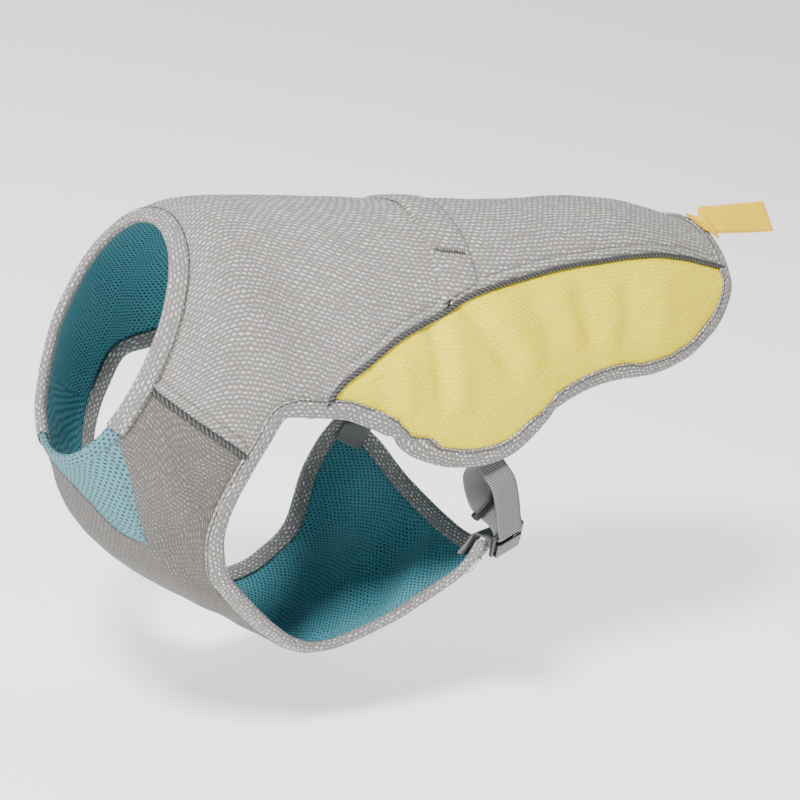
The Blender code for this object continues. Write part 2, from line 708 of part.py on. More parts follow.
def make_side_set(side, word):
    corner_place = (4.14, 116.5) if side > 0 else (4.14, -120.5)
    hem, corner = on_form(4.0, side * 91.6), on_form(*corner_place)
    down = unit(corner - hem)
    away = np.array((0, -side, 0.0))
    away = unit(away - down * (down @ away))
    tailward = np.cross(away, down) * side
    stretch = np.linalg.norm(corner - hem) / 62

    def to_world(u, v, w):
        return tailward * u + down * v + away * w

    def at(u, v, w):
        return hem + to_world(u, v * stretch, w)

    across = to_world(*STRAP_ACROSS)
    buckle, run = at(*BUCKLE_AT), unit(to_world(*BUCKLE_RUN))
    out = unit(np.cross(run, across)) * side
    bar = [buckle + run * WRAP * 1.05 * math.sin(t) + out * (WRAP + 0.6) * math.cos(t)
           for t in (math.radians(k) for k in (-25, 15, 55, 90, 125, 165, 185))]
    sewn = [off_form(*inside(s, side * read(HEM, s), -down, distance), depth)
            for s, distance, depth in STRAP_SEWN]
    path = [sewn[1], sewn[0]] + [at(*p) for p in STRAP] + bar + [at(*p) for p in STRAP_BACK] + sewn[2:]
    ribbon(f"belly_strap_{word}", path, [across] * len(path), WEBBING_WIDTH, WEBBING_THICK, "webbing")

    frame_plate(f"buckle_{word}", buckle, across, run, BUCKLE_ACROSS_BREAKS, BUCKLE_RUN_BREAKS,
                ((1, 1), (1, 3)), BUCKLE_THICK)

    # the slider is a flat loop round the returning webbing
    centre = at(*SLIDER_AT)
    along = unit(at(*STRAP_BACK[1]) - at(*STRAP_BACK[2]))
    wide = unit(across - along * (along @ across))
    thick = np.cross(along, wide)
    rings = []
    for u, v in ((-1, -1), (1, -1), (1, 1), (-1, 1)):
        ring = []
        for grow, shift in ((0, -1), (1, -1), (1, 1), (0, 1)):
            half_wide = WEBBING_WIDTH / 2 + 0.6 + grow * 2.2
            half_thick = WEBBING_THICK / 2 + 0.6 + grow * 1.6
            ring.append(centre + wide * u * half_wide + thick * v * half_thick + along * shift * 2.5)
        rings.append(ring)
    loft(f"slider_{word}", rings, "black_plastic", closed=True)

    # the tab of webbing at the corner of the belly panel goes round the buckle's lower bar
    lower = buckle + run * (BUCKLE_RUN_BREAKS[4] + BUCKLE_RUN_BREAKS[5]) / 2
    bend = [lower + run * (WRAP + 0.2) * math.sin(t) + out * (WRAP + 0.7) * math.cos(t)
            for t in (math.radians(k) for k in (-30, 15, 55, 90, 125, 165))]
    start = [lower - run * 15.5 + out * (WRAP + 0.7), lower - run * 8 + out * (WRAP + 0.6)]
    turn = [at(*p) for p in CORNER_TAB]
    one, two = belly_net(side)[-1][:-3:-1]
    rim = (np.array(one) + np.array(two)) / 2
    edge = unit(on_form(*two) - on_form(*one))
    into = np.cross(edge, outward(*rim)) * side
    sewn = [off_form(*inside(*rim, into, distance), depth) for distance, depth in CORNER_TAB_SEWN]
    half = unit(across + edge)
    directions = [across] * (len(start) + len(bend) + 1) + [half] * 2 + [edge] * 3
    ribbon(f"corner_tab_{word}", start + bend + turn + sewn, directions, WEBBING_WIDTH, WEBBING_THICK, "webbing")


# The tail tab beyond the hem: the middle of its lower layer, and the direction of its width.
TAB_COLUMNS = ("x", "y", "z", "across_x", "across_y", "across_z")
TAB = (
    (441, -12.0, -3.5, 0.36, -0.68, -0.64),
    (458, -12.0, -2.6, 0.30, -0.62, -0.72),
    (476, -12.0, -1.6, 0.24, -0.58, -0.78),
    (493, -12.0, -0.4, 0.20, -0.55, -0.81),
)


def make_tail_tab():
    """The folded ribbon at the middle of the rear hem: two layers that join at the far end."""
    inset = 9.5 / np.linalg.norm(slopes(6.95, 0)[0])
    half_deg = RIBBON_WIDTH / 2 / np.linalg.norm(slopes(7.0, 0)[1])
    height = BINDING_OUT + 0.3 + RIBBON_THICK / 2 + TAB_LIFT
    low, across = [], []
    for station in (7.0 - inset, 7.0 - inset / 2, 7.0):
        sides = [off_form(station, a, height) for a in (half_deg, -half_deg)]
        low.append((sides[0] + sides[1]) / 2)
        across.append(unit(sides[0] - sides[1]))
    low += [np.array(row[:3], float) for row in TAB]
    across += [unit(np.array(row[3:])) for row in TAB]
    runs = [unit(low[min(i + 1, len(low) - 1)] - low[max(i - 1, 0)]) for i in range(len(low))]
    up = [unit(np.cross(run, wide)) for run, wide in zip(runs, across)]
    up = [u if u[2] > 0 else -u for u in up]
    apart = RIBBON_THICK + 0.3
    high = [p + u * apart for p, u in zip(low, up)]
    fold = low[-1] + up[-1] * apart / 2 + runs[-1] * 1.2
    ribbon("tail_tab", low + [fold] + high[::-1], across + [across[-1]] + across[::-1],
           RIBBON_WIDTH, RIBBON_THICK, "yellow_ribbon")


def main():
    for thing in list(bpy.data.objects):
        bpy.data.objects.remove(thing)
    make_back()
    make_flanks()
    make_back_lining()
    make_chest()
    make_bindings()
    make_pipings()
    for side, word in ((1, "left"), (-1, "right")):
        make_side_set(side, word)
    make_tail_tab()


main()
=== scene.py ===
import math

import bmesh
import bpy
import numpy as np
from mathutils import Matrix, Vector


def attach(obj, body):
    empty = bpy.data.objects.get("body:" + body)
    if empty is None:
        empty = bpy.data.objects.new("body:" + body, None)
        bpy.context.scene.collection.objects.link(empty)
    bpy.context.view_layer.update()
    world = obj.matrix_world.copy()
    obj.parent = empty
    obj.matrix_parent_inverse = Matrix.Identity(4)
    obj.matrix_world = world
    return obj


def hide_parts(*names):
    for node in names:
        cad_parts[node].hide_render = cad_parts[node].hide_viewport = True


# A dog's cooling vest in its worn shape. Piece sizes are millimetres, the scene is in metres.
# The tail is towards +X and the dog's left side towards -Y.

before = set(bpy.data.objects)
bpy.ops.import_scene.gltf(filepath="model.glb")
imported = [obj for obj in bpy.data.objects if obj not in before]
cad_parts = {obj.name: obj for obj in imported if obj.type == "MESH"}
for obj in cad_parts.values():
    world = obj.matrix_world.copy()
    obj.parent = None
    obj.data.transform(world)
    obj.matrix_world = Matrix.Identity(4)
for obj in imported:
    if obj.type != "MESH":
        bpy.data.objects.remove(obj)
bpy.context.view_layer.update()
mm = 0.001
print("frame loaded:", len(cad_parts), "nodes")

# A place on the cloth is a station (0 neck ring, 7 root of the tail) and an angle:
# 0 on the spine, growing down the left side to 180 under the chest.
form = {
    "columns": ("topX", "topZ", "bottomX", "bottomZ", "halfWidth", "waist", "roll", "square", "flare", "farSide"),
    "sections": (
        (-36, -10, -94, -158, 61, 0.46, -12, 2.0, 0.00, 0),
        (0, 1, -46, -228, 81, 0.46, -13, 2.1, 0.00, 34),
        (45, 2, 34, -275, 87, 0.46, -8, 2.4, 0.03, 26),
        (100, 4, 115, -310, 87, 0.42, 0, 3.1, 0.11, 4),
        (185, 7, 211, -265, 86, 0.46, 8, 3.9, 0.19, 0),
        (270, 7, 295, -192, 81, 0.52, 8, 2.6, 0.04, 0),
        (345, 6, 365, -162, 76, 0.52, 9, 2.2, 0.00, 0),
        (425, -9, 432, -147, 62, 0.52, 10, 2.0, 0.00, 0),
    ),
    "shell": 1.5,      # outer face of the outer cloth, over the form
    "lining": -1.25,   # inner face of the lining
    "shellWall": 1.2,
    "liningWall": 0.9,
}

# Seams and edges as station and angle. The right side mirrors the left unless a table gives both.
seams = {
    "shoulder": ((0, 107.5), (0.7, 105), (1.3, 104), (1.53, 104)),
    "armholeTop": ((1.53, 104), (1.61, 98), (1.74, 91), (1.9, 89.3), (2.15, 87.4)),
    "flank": ((2.15, 87.4), (2.32, 80), (2.75, 69), (3.1, 60), (3.44, 52.5), (3.75, 44.5), (4.02, 40.5),
              (4.46, 37.5), (5.2, 36), (5.7, 35), (6.5, 35), (7, 37)),
    "hem": ((2.15, 87.4), (2.5, 85.8), (2.8, 87), (3.1, 89.8), (3.5, 91), (4, 91.6), (4.3, 92), (4.55, 90.7),
            (4.75, 88.6), (4.9, 87.9), (5.25, 87.8), (5.62, 90.3), (6, 91), (6.2, 89.3), (6.4, 85.7),
            (6.62, 77.8), (6.78, 70.3), (6.92, 59), (7, 47)),
    "inner": ((0, 118), (0.22, 118.5), (0.45, 119.5), (0.68, 121), (0.88, 122.5), (1.08, 124), (1.24, 125),
              (1.44, 126)),
    "shoulderAt": (0, 0.25, 0.5, 0.75, 1, 1.25, 1.4, 1.53),
    "armholeFront": (1.45, 114.5),
    "cross": 3.52,
    "bandEnd": 3.83,
}
gore = {
    "left": ((0, 132), (0.18, 134), (0.38, 137), (0.61, 143), (0.79, 148), (0.93, 151.5), (0.98, 153)),
    "right": ((0, 206), (0.13, 192), (0.27, 179), (0.46, 170), (0.74, 162), (0.92, 154.5), (0.98, 153)),
    "below": (1.40, 165),    # where the chest's centre line goes on from the point
}
belly = {
    "columns": ("centreAt", "centreAngle", "edgeAt", "leftAngle", "rightAngle", "bow"),
    "rows": (
        (1.70, 172, 1.52, 134, 134, 1.0),
        (2.00, 177, 1.68, 142.5, 142.5, 1.0),
        (2.35, 180, 2.00, 150, 150, 1.0),
        (2.70, 180, 2.45, 154, 152, 1.0),
        (3.05, 180, 2.90, 154, 150, 1.0),
        (3.35, 180, 3.25, 149.5, 151, 1.0),
        (3.65, 180, 3.55, 144.5, 150, 1.1),
        (3.88, 180, 3.80, 141.5, 130, 1.3),
        (4.08, 180, 3.98, 137.5, 120, 1.8),
        (4.26, 180, 4.09, 127.5, 117.5, 2.6),
        (4.41, 180, 4.14, 116.5, 120.5, 3.6),
    ),
}


def unitRows(v):
    return v / np.maximum(np.linalg.norm(v, axis=-1, keepdims=True), 1e-9)


def sectionRows(station):
    table = np.array(form["sections"], float)
    last = len(table) - 1
    low = np.clip(np.floor(station).astype(int), 0, last - 1)
    t = (station - low)[..., None]
    a, b = table[low], table[low + 1]
    leave = np.where(low[..., None] > 0, (b - table[np.maximum(low - 1, 0)]) / 2, b - a)
    arrive = np.where(low[..., None] + 1 < last, (table[np.minimum(low + 2, last)] - a) / 2, b - a)
    smooth = ((2 * t**3 - 3 * t**2 + 1) * a + (t**3 - 2 * t**2 + t) * leave
              + (3 * t**2 - 2 * t**3) * b + (t**3 - t**2) * arrive)
    return np.where(t < 0, a + leave * t, smooth)


def onForm(station, angle):
    station, angle = np.broadcast_arrays(np.asarray(station, float), np.asarray(angle, float))
    (topX, topZ, bottomX, bottomZ, halfWidth, waist, roll, square, flare,
     farSide) = np.moveaxis(sectionRows(station), -1, 0)
    turn = np.radians(angle)
    down, side = np.cos(turn), np.sin(turn)
    power = np.where(down < 0, 2 / square, 1.0)
    down = np.sign(down) * np.abs(down) ** power
    side = np.sign(side) * np.abs(side) ** power
    share = np.where(down >= 0, waist * (1 - down), waist - (1 - waist) * down)
    x = topX + (bottomX - topX) * share
    z = topZ + (bottomZ - topZ) * share
    y = -halfWidth * side * (1 + flare * np.maximum(0, -down))
    y = y + farSide * np.maximum(0, -side)
    middle = topZ + (bottomZ - topZ) * waist
    r = np.radians(roll)
    return np.stack((x, y * np.cos(r) - (z - middle) * np.sin(r),
                     middle + y * np.sin(r) + (z - middle) * np.cos(r)), -1)


def slopes(station, angle):
    along = (onForm(station + 0.01, angle) - onForm(station - 0.01, angle)) / 0.02
    return along, (onForm(station, angle + 0.5) - onForm(station, angle - 0.5))


def outward(station, angle):
    along, roundIt = slopes(station, angle)
    return unitRows(np.cross(roundIt, along))


def moveOver(station, angle, towards, distance):
    along, roundIt = slopes(station, angle)
    move = towards * np.asarray(distance, float)[..., None]
    a, b, c = (along * along).sum(-1), (along * roundIt).sum(-1), (roundIt * roundIt).sum(-1)
    p, q = (along * move).sum(-1), (roundIt * move).sum(-1)
    return station + (p * c - q * b) / (a * c - b * b), angle + (a * q - b * p) / (a * c - b * b)


def moveInSteps(station, angle, towards, distance, steps):
    for _ in range(steps):
        station, angle = moveOver(np.asarray(station), np.asarray(angle), towards, distance / steps)
    return station, angle


def smoothTable(rows, at):
    # a smooth curve through every row of a table
    rows = np.array(rows, float)
    x, y = rows[:, 0], rows[:, 1:]
    step = np.diff(x)[:, None]
    rise = np.diff(y, axis=0) / step
    lean = np.vstack((rise[:1], (rise[1:] * step[:-1] + rise[:-1] * step[1:]) / (step[1:] + step[:-1]), rise[-1:]))
    at = np.asarray(at, float)
    k = np.clip(np.searchsorted(x, at, side="right") - 1, 0, len(x) - 2)
    h, t = step[k], ((at - x[k]) / step[k][..., 0])[..., None]
    return ((2 * t**3 - 3 * t**2 + 1) * y[k] + (t**3 - 2 * t**2 + t) * h * lean[k]
            + (3 * t**2 - 2 * t**3) * y[k + 1] + (t**3 - t**2) * h * lean[k + 1])


def readSeam(rows, station):
    return smoothTable(rows, station)[..., 0]


def lengthsAlong(points):
    return np.concatenate(([0], np.cumsum(np.linalg.norm(np.diff(points, axis=0), axis=1))))


def readLine(at, run, rows):
    return np.column_stack([np.interp(at, run, rows[:, k]) for k in range(rows.shape[1])])


def knotsFor(points, least=1e-6):
    # a place on the curve for each point, by the root of the gap, which keeps tight turns smooth
    gaps = np.maximum(np.linalg.norm(np.diff(points, axis=0), axis=1), least)
    return np.concatenate(([0], np.cumsum(gaps ** 0.5)))


def throughPoints(points, spacing):
    # a smooth line through points, cut into even steps
    points = np.array(points, float)
    knots = knotsFor(points)
    dense = smoothTable(np.column_stack((knots, points)), np.linspace(0, knots[-1], 40 * len(points)))
    run = lengthsAlong(dense)
    count = max(int(round(run[-1] / spacing)), 2)
    return readLine(np.linspace(0, run[-1], count + 1), run, dense)


def backEdge(station):
    rows = seams["shoulder"] + seams["armholeTop"][1:] + seams["flank"][1:]
    return readSeam(rows, station)


# Soft creases and swells: height is out from the form, spread is the half width.
creases = {
    "columns": ("height", "spread", "path of stations and angles"),
    "rows": (
        # yellow flank, left
        (-3.5, 7, ((3.36, 50), (3.42, 60), (3.46, 72), (3.50, 82))),
        (3.0, 10, ((3.52, 50), (3.58, 60), (3.64, 72), (3.66, 84))),
        (-4.0, 7, ((3.62, 46), (3.84, 56), (4.02, 65), (4.16, 74))),
        (3.3, 11, ((3.86, 44), (4.06, 54), (4.24, 62), (4.36, 74))),
        (-2.3, 8, ((4.28, 42), (4.40, 54), (4.58, 64))),
        (2.3, 11, ((4.55, 42), (4.68, 55), (4.76, 70))),
        (-2.1, 9, ((4.86, 42), (4.86, 56), (4.98, 74))),
        (2.1, 13, ((5.15, 42), (5.2, 56), (5.2, 76))),
        (-1.8, 9, ((5.48, 42), (5.40, 58), (5.34, 76))),
        (2.3, 14, ((5.9, 44), (5.86, 60), (5.8, 78))),
        (-1.9, 8, ((2.82, 72), (2.92, 78), (3.02, 84))),
        (2.1, 9, ((3.08, 64), (3.14, 74), (3.2, 84))),
        # the same on the right, uneven
        (-3.3, 8, ((3.42, -50), (3.5, -62), (3.52, -82))),
        (2.8, 11, ((3.62, -48), (3.74, -62), (3.78, -82))),
        (-3.5, 8, ((3.86, -44), (4.02, -58), (4.14, -74))),
        (3.0, 12, ((4.16, -42), (4.34, -58), (4.42, -76))),
        (-2.1, 9, ((4.7, -42), (4.76, -58), (4.9, -76))),
        (2.3, 13, ((5.1, -42), (5.16, -60), (5.12, -78))),
        (-1.9, 9, ((5.56, -42), (5.5, -60), (5.46, -78))),
        # the grey back: slack over the shoulder and behind the neck
        (-1.5, 11, ((0.35, 70), (0.9, 78), (1.4, 84))),
        (1.7, 13, ((0.4, 52), (1.1, 60), (1.8, 70))),
        (-1.4, 12, ((1.5, 50), (2.1, 60), (2.6, 64))),
        (1.5, 14, ((2.2, 30), (2.7, 42), (3.0, 52))),
        (-1.5, 11, ((0.4, -68), (1.0, -76), (1.5, -82))),
        (1.7, 13, ((0.5, -50), (1.2, -62), (1.9, -72))),
        (-1.4, 12, ((1.7, -48), (2.3, -58), (2.7, -62))),
        (1.4, 16, ((4.4, 8), (5.2, 14), (6.0, 10))),
        (-1.2, 13, ((4.3, -14), (5.0, -18), (5.8, -16))),
        # the chest, pulled round below the neck and along the shoulder
        (-2.0, 9, ((0.7, 112), (1.0, 118), (1.36, 121))),
        (2.0, 10, ((0.55, 124), (0.9, 128), (1.3, 133))),
        (-2.2, 10, ((1.0, 138), (1.3, 146), (1.7, 158))),
        (2.2, 12, ((1.2, 152), (1.6, 162), (2.1, 172))),
        (-2.0, 10, ((1.7, 146), (2.0, 158), (2.4, 170))),
        (-2.0, 10, ((0.8, -124), (1.2, -136), (1.6, -150))),
        (1.9, 12, ((0.6, -140), (1.1, -154), (1.6, -168))),
        # the belly flap, seen from inside: hollows go out, folds come in
        (5.5, 13, ((4.40, 178.5), (4.04, 178.5), (3.72, 174), (3.50, 164))),
        (-3.5, 10, ((4.30, 174), (3.98, 168), (3.70, 158), (3.55, 152))),
        (4.0, 16, ((4.0, -170), (3.78, -168), (3.5, -164))),
        (-2.6, 12, ((3.3, -179), (3.22, 176), (3.1, 166))),
        (2.2, 11, ((3.02, -176), (2.96, 176), (2.9, 168))),
        (-2.2, 10, ((2.75, -170), (2.6, 178), (2.5, 168))),
        (3.0, 12, ((4.42, 150), (4.3, 146), (4.12, 142))),
        (-1.8, 10, ((3.3, -158), (3.55, -160), (3.9, -152))),
    ),
}


def creaseRelief(points):
    flat = points.reshape(-1, 3)
    lift = np.zeros(len(flat))
    for height, spread, path in creases["rows"]:
        line = throughPoints(onForm(*np.array(path, float).T), 6)
        run = np.linspace(0, 1, len(line))
        low, high = line.min(0), line.max(0)
        near = np.abs(flat - (low + high) / 2).max(1) < (high - low).max() / 2 + 3 * spread
        if not near.any():
            continue
        gap = np.linalg.norm(flat[near, None] - line[None], axis=2)
        at = gap.argmin(1)
        fade = np.clip(np.minimum(run[at], 1 - run[at]) * 4 + 0.15, 0, 1)
        lift[near] += height * fade * np.exp(-(gap.min(1) / spread) ** 2)
    x, y, z = flat.T
    lift += 0.35 * np.sin(x * 0.071 + z * 0.052 + 1.3) * np.sin(y * 0.083 - z * 0.061 + 0.4)
    lift += 0.22 * np.sin(x * 0.151 - z * 0.113 + 0.8) * np.sin(y * 0.137 + z * 0.149 + 2.1)
    return lift.reshape(points.shape[:-1])


def clothPoint(station, angle, height):
    base = onForm(station, angle)
    return base + outward(station, angle) * (np.asarray(height, float) + creaseRelief(base))[..., None]


def evenColumns(station, angle):
    # slides the places of each row until they are evenly spaced over the form
    for _ in range(2):
        spots = onForm(station, angle)
        run = np.concatenate((np.zeros((len(spots), 1)),
                              np.cumsum(np.linalg.norm(np.diff(spots, axis=1), axis=2), axis=1)), 1)
        wanted = np.linspace(0, 1, spots.shape[1])
        for i in range(len(spots)):
            share = run[i] / max(run[i, -1], 1e-9)
            station[i], angle[i] = np.interp(wanted, share, station[i]), np.interp(wanted, share, angle[i])
    return station, angle


def weaveOver(spots, startRow=None, startColumn=None, acrossStart=0.0):
    # lengths over the cloth from its middle row and column, for the weave
    rows, columns = spots.shape[:2]
    i0 = rows // 2 if startRow is None else startRow
    j0 = columns // 2 if startColumn is None else startColumn
    along = np.concatenate((np.zeros((1, columns)), np.cumsum(np.linalg.norm(np.diff(spots, axis=0), axis=2), 0)))
    across = np.concatenate((np.zeros((rows, 1)), np.cumsum(np.linalg.norm(np.diff(spots, axis=1), axis=2), 1)), 1)
    return np.stack((along - along[i0], across - across[:, j0:j0 + 1] + np.asarray(acrossStart).reshape(-1, 1)), -1)


def stripWeave(run, across):
    return np.stack(np.broadcast_arrays(run[:, None], across[None]), -1)


def addGrid(mesh, spots, weave, outwards=None):
    rows, columns = spots.shape[0] - 1, spots.shape[1] - 1
    layer = mesh.loops.layers.uv.get("weave") or mesh.loops.layers.uv.new("weave")
    made = bmesh.ops.create_grid(mesh, x_segments=rows, y_segments=columns, size=0.5)["verts"]
    place = {v: (round((v.co.x + 0.5) * rows), round((v.co.y + 0.5) * columns)) for v in made}
    faces = {face for v in made for face in v.link_faces}
    for v, (i, j) in place.items():
        v.co = Vector(spots[i, j]) * mm
    for face in faces:
        for loop in face.loops:
            loop[layer].uv = weave[place[loop.vert]] * mm
    if outwards is not None:
        middle = min(faces, key=lambda f: (f.calc_center_median() - Vector(spots[rows // 2, columns // 2]) * mm).length)
        middle.normal_update()
        if middle.normal.dot(Vector(outwards[rows // 2, columns // 2])) < 0:
            bmesh.ops.reverse_faces(mesh, faces=list(faces))


def addPanel(mesh, station, angle, height, weave, faceOut=True):
    # linings face inwards
    out = outward(station, angle)
    addGrid(mesh, clothPoint(station, angle, height), weave, out if faceOut else -out)


def newPiece(name, mesh, material, replaced=()):
    data = bpy.data.meshes.new(name)
    mesh.to_mesh(data)
    mesh.free()
    data.shade_smooth()
    data.materials.append(material)
    piece = bpy.data.objects.new(name, data)
    bpy.context.scene.collection.objects.link(piece)
    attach(piece, "root")
    if replaced:
        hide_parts(*replaced)
    return piece


def finishPiece(name, mesh, material, wall=None, replaced=(), offset=-1, join=0.02):
    bmesh.ops.remove_doubles(mesh, verts=mesh.verts, dist=join * mm)
    piece = newPiece(name, mesh, material, replaced)
    if wall:
        thicken = piece.modifiers.new("wall", "SOLIDIFY")
        thicken.thickness, thicken.offset = wall * mm, offset
        thicken.use_quality_normals = True
    return piece


def newMaterial(name, roughness):
    material = bpy.data.materials.new(name)
    material.use_nodes = True
    nodes, links = material.node_tree.nodes, material.node_tree.links
    shader = nodes["Principled BSDF"]
    shader.inputs["Roughness"].default_value = roughness
    return material, nodes, links, shader


def setInputs(node, values):
    for label, value in values.items():
        node.inputs[label].default_value = value


def mathNode(nodes, links, operation, *values):
    node = nodes.new("ShaderNodeMath")
    node.operation = operation
    for socket, value in zip(node.inputs, values):
        if isinstance(value, (int, float)):
            socket.default_value = value
        else:
            links.new(value, socket)
    return node.outputs[0]


def rescale(nodes, links, source, fromMin=0.0, fromMax=1.0, toMin=0.0, toMax=1.0, smooth=False):
    node = nodes.new("ShaderNodeMapRange")
    if smooth:
        node.interpolation_type = "SMOOTHSTEP"
    setInputs(node, {"From Min": fromMin, "From Max": fromMax, "To Min": toMin, "To Max": toMax})
    links.new(source, node.inputs["Value"])
    return node.outputs[0]


def noiseOver(nodes, links, place, scale, detail=2.0):
    noise = nodes.new("ShaderNodeTexNoise")
    setInputs(noise, {"Scale": scale, "Detail": detail})
    links.new(place, noise.inputs["Vector"])
    return noise


def addBump(nodes, links, shader, height, strength, distance):
    bump = nodes.new("ShaderNodeBump")
    setInputs(bump, {"Strength": strength, "Distance": distance})
    links.new(height, bump.inputs["Height"])
    links.new(bump.outputs[0], shader.inputs["Normal"])


def mixColours(nodes, links, share, first, second, blend="MIX"):
    mix = nodes.new("ShaderNodeMix")
    mix.data_type, mix.blend_type = "RGBA", blend
    for socket, value in ((mix.inputs[0], share), (mix.inputs[6], first), (mix.inputs[7], second)):
        if isinstance(value, (int, float)):
            socket.default_value = value
        elif isinstance(value, tuple):
            socket.default_value = (*value, 1)
        else:
            links.new(value, socket)
    return mix.outputs[2]


def weaveGroup():
    # short dashes in staggered rows over the cloth, each a little different
    group = bpy.data.node_groups.new("staggeredKnit", "ShaderNodeTree")
    sockets = group.interface
    sockets.new_socket("Place", in_out="INPUT", socket_type="NodeSocketVector")
    for label, value in (("Along step", 5.0), ("Across step", 3.3), ("Length", 0.3), ("Width", 0.2), ("Wander", 0.3)):
        sockets.new_socket(label, in_out="INPUT", socket_type="NodeSocketFloat").default_value = value
    for label in ("Mask", "Each", "Fibre"):
        sockets.new_socket(label, in_out="OUTPUT", socket_type="NodeSocketFloat")
    nodes, links = group.nodes, group.links
    source, sink = nodes.new("NodeGroupInput"), nodes.new("NodeGroupOutput")

    def maths(*values):
        return mathNode(nodes, links, *values)

    inMm = nodes.new("ShaderNodeVectorMath")
    inMm.operation = "SCALE"
    inMm.inputs["Scale"].default_value = 1000
    links.new(source.outputs["Place"], inMm.inputs[0])
    drift = noiseOver(nodes, links, inMm.outputs[0], 0.11)
    parts = nodes.new("ShaderNodeSeparateXYZ")
    links.new(inMm.outputs[0], parts.inputs[0])
    shift = nodes.new("ShaderNodeSeparateXYZ")
    links.new(drift.outputs["Color"], shift.inputs[0])
    moved = []
    for axis in range(2):
        off = maths("MULTIPLY", maths("SUBTRACT", shift.outputs[axis], 0.5), source.outputs["Wander"])
        moved.append(maths("ADD", parts.outputs[axis], maths("MULTIPLY", off, 10)))
    row = maths("DIVIDE", moved[1], source.outputs["Across step"])
    rowNumber = maths("FLOOR", row)
    half = maths("MULTIPLY", maths("FLOORED_MODULO", rowNumber, 2), 0.5)
    column = maths("ADD", maths("DIVIDE", moved[0], source.outputs["Along step"]), half)
    acrossCell = maths("SUBTRACT", maths("SUBTRACT", row, rowNumber), 0.5)
    alongCell = maths("SUBTRACT", maths("SUBTRACT", column, maths("FLOOR", column)), 0.5)
    a = maths("POWER", maths("ABSOLUTE", maths("DIVIDE", alongCell, source.outputs["Length"])), 2)
    b = maths("POWER", maths("ABSOLUTE", maths("DIVIDE", acrossCell, source.outputs["Width"])), 2)
    links.new(rescale(nodes, links, maths("ADD", a, b), 1.6, 0.4, smooth=True), sink.inputs["Mask"])
    cell = nodes.new("ShaderNodeCombineXYZ")
    links.new(maths("FLOOR", column), cell.inputs[0])
    links.new(rowNumber, cell.inputs[1])
    each = nodes.new("ShaderNodeTexWhiteNoise")
    links.new(cell.outputs[0], each.inputs["Vector"])
    links.new(each.outputs["Value"], sink.inputs["Each"])
    links.new(noiseOver(nodes, links, inMm.outputs[0], 1.7, 3).outputs["Fac"], sink.inputs["Fibre"])
    return group


staggeredKnit = weaveGroup()


def clothMaterial(name, finish):
    # ground and dash colours, with tone drifting over the panel and single fibres in it
    material, nodes, links, shader = newMaterial(name, finish["roughness"])
    setInputs(shader, {"Sheen Weight": finish["sheen"], "Specular IOR Level": 0.15})
    weave = nodes.new("ShaderNodeUVMap")
    weave.uv_map = "weave"
    knit = nodes.new("ShaderNodeGroup")
    knit.node_tree = staggeredKnit
    links.new(weave.outputs[0], knit.inputs["Place"])
    for label, key in (("Along step", "alongStep"), ("Across step", "acrossStep"), ("Length", "length"),
                       ("Width", "width"), ("Wander", "wander")):
        knit.inputs[label].default_value = finish[key]
    least, most = finish["strength"]
    strength = rescale(nodes, links, knit.outputs["Each"], toMin=least, toMax=most)
    dash = mathNode(nodes, links, "MULTIPLY", knit.outputs["Mask"], strength)
    fibreTone = rescale(nodes, links, knit.outputs["Fibre"], 0.3, 0.7)
    ground = mixColours(nodes, links, fibreTone, finish["shade"], finish["ground"])
    place = nodes.new("ShaderNodeTexCoord")
    drift = noiseOver(nodes, links, place.outputs["Object"], 9)
    driftShare = rescale(nodes, links, drift.outputs["Fac"], 0.35, 0.65, toMax=finish["drift"])
    toned = mixColours(nodes, links, driftShare, ground, finish["shade"])
    links.new(mixColours(nodes, links, dash, toned, finish["dash"]), shader.inputs["Base Color"])
    height = mathNode(nodes, links, "MULTIPLY_ADD", knit.outputs["Mask"], finish["relief"], knit.outputs["Fibre"])
    addBump(nodes, links, shader, height, 0.5, 0.0004)
    return material


greyMesh = {"alongStep": 5.0, "acrossStep": 3.0, "length": 0.37, "width": 0.23, "wander": 0.35, "roughness": 0.85,
            "ground": (0.28, 0.264, 0.25), "shade": (0.16, 0.15, 0.141), "dash": (0.78, 0.76, 0.735),
            "strength": (0.3, 0.85), "relief": 1.8, "drift": 0.25, "sheen": 0.05}
chestMesh = {**greyMesh, "alongStep": 3.9, "acrossStep": 2.3, "ground": (0.15, 0.141, 0.132),
             "shade": (0.085, 0.079, 0.073), "dash": (0.32, 0.308, 0.292), "strength": (0.25, 0.75), "wander": 0.5}
yellowMesh = {"alongStep": 4.8, "acrossStep": 2.8, "length": 0.37, "width": 0.23, "wander": 0.4, "roughness": 0.85,
              "ground": (0.98, 0.82, 0.0), "shade": (0.84, 0.64, 0.0), "dash": (1.0, 0.96, 0.12),
              "strength": (0.35, 0.95), "relief": 1.6, "drift": 0.3, "sheen": 0.0}
tealMesh = {"alongStep": 3.6, "acrossStep": 2.3, "length": 0.27, "width": 0.30, "wander": 0.25, "roughness": 0.8,
            "ground": (0.115, 0.36, 0.42), "shade": (0.05, 0.22, 0.27), "dash": (0.002, 0.022, 0.04),
            "strength": (0.8, 1.0), "relief": -2.2, "drift": 0.2, "sheen": 0.05}
goreMesh = {**tealMesh, "alongStep": 4.2, "acrossStep": 2.6, "ground": (0.15, 0.31, 0.345),
            "shade": (0.085, 0.215, 0.25), "dash": (0.01, 0.06, 0.08)}
bindingMesh = {"alongStep": 4.4, "acrossStep": 2.5, "length": 0.30, "width": 0.24, "wander": 0.5, "roughness": 0.85,
               "ground": (0.26, 0.247, 0.235), "shade": (0.15, 0.142, 0.134), "dash": (0.80, 0.785, 0.76),
               "strength": (0.15, 0.95), "relief": 1.6, "drift": 0.25, "sheen": 0.05}

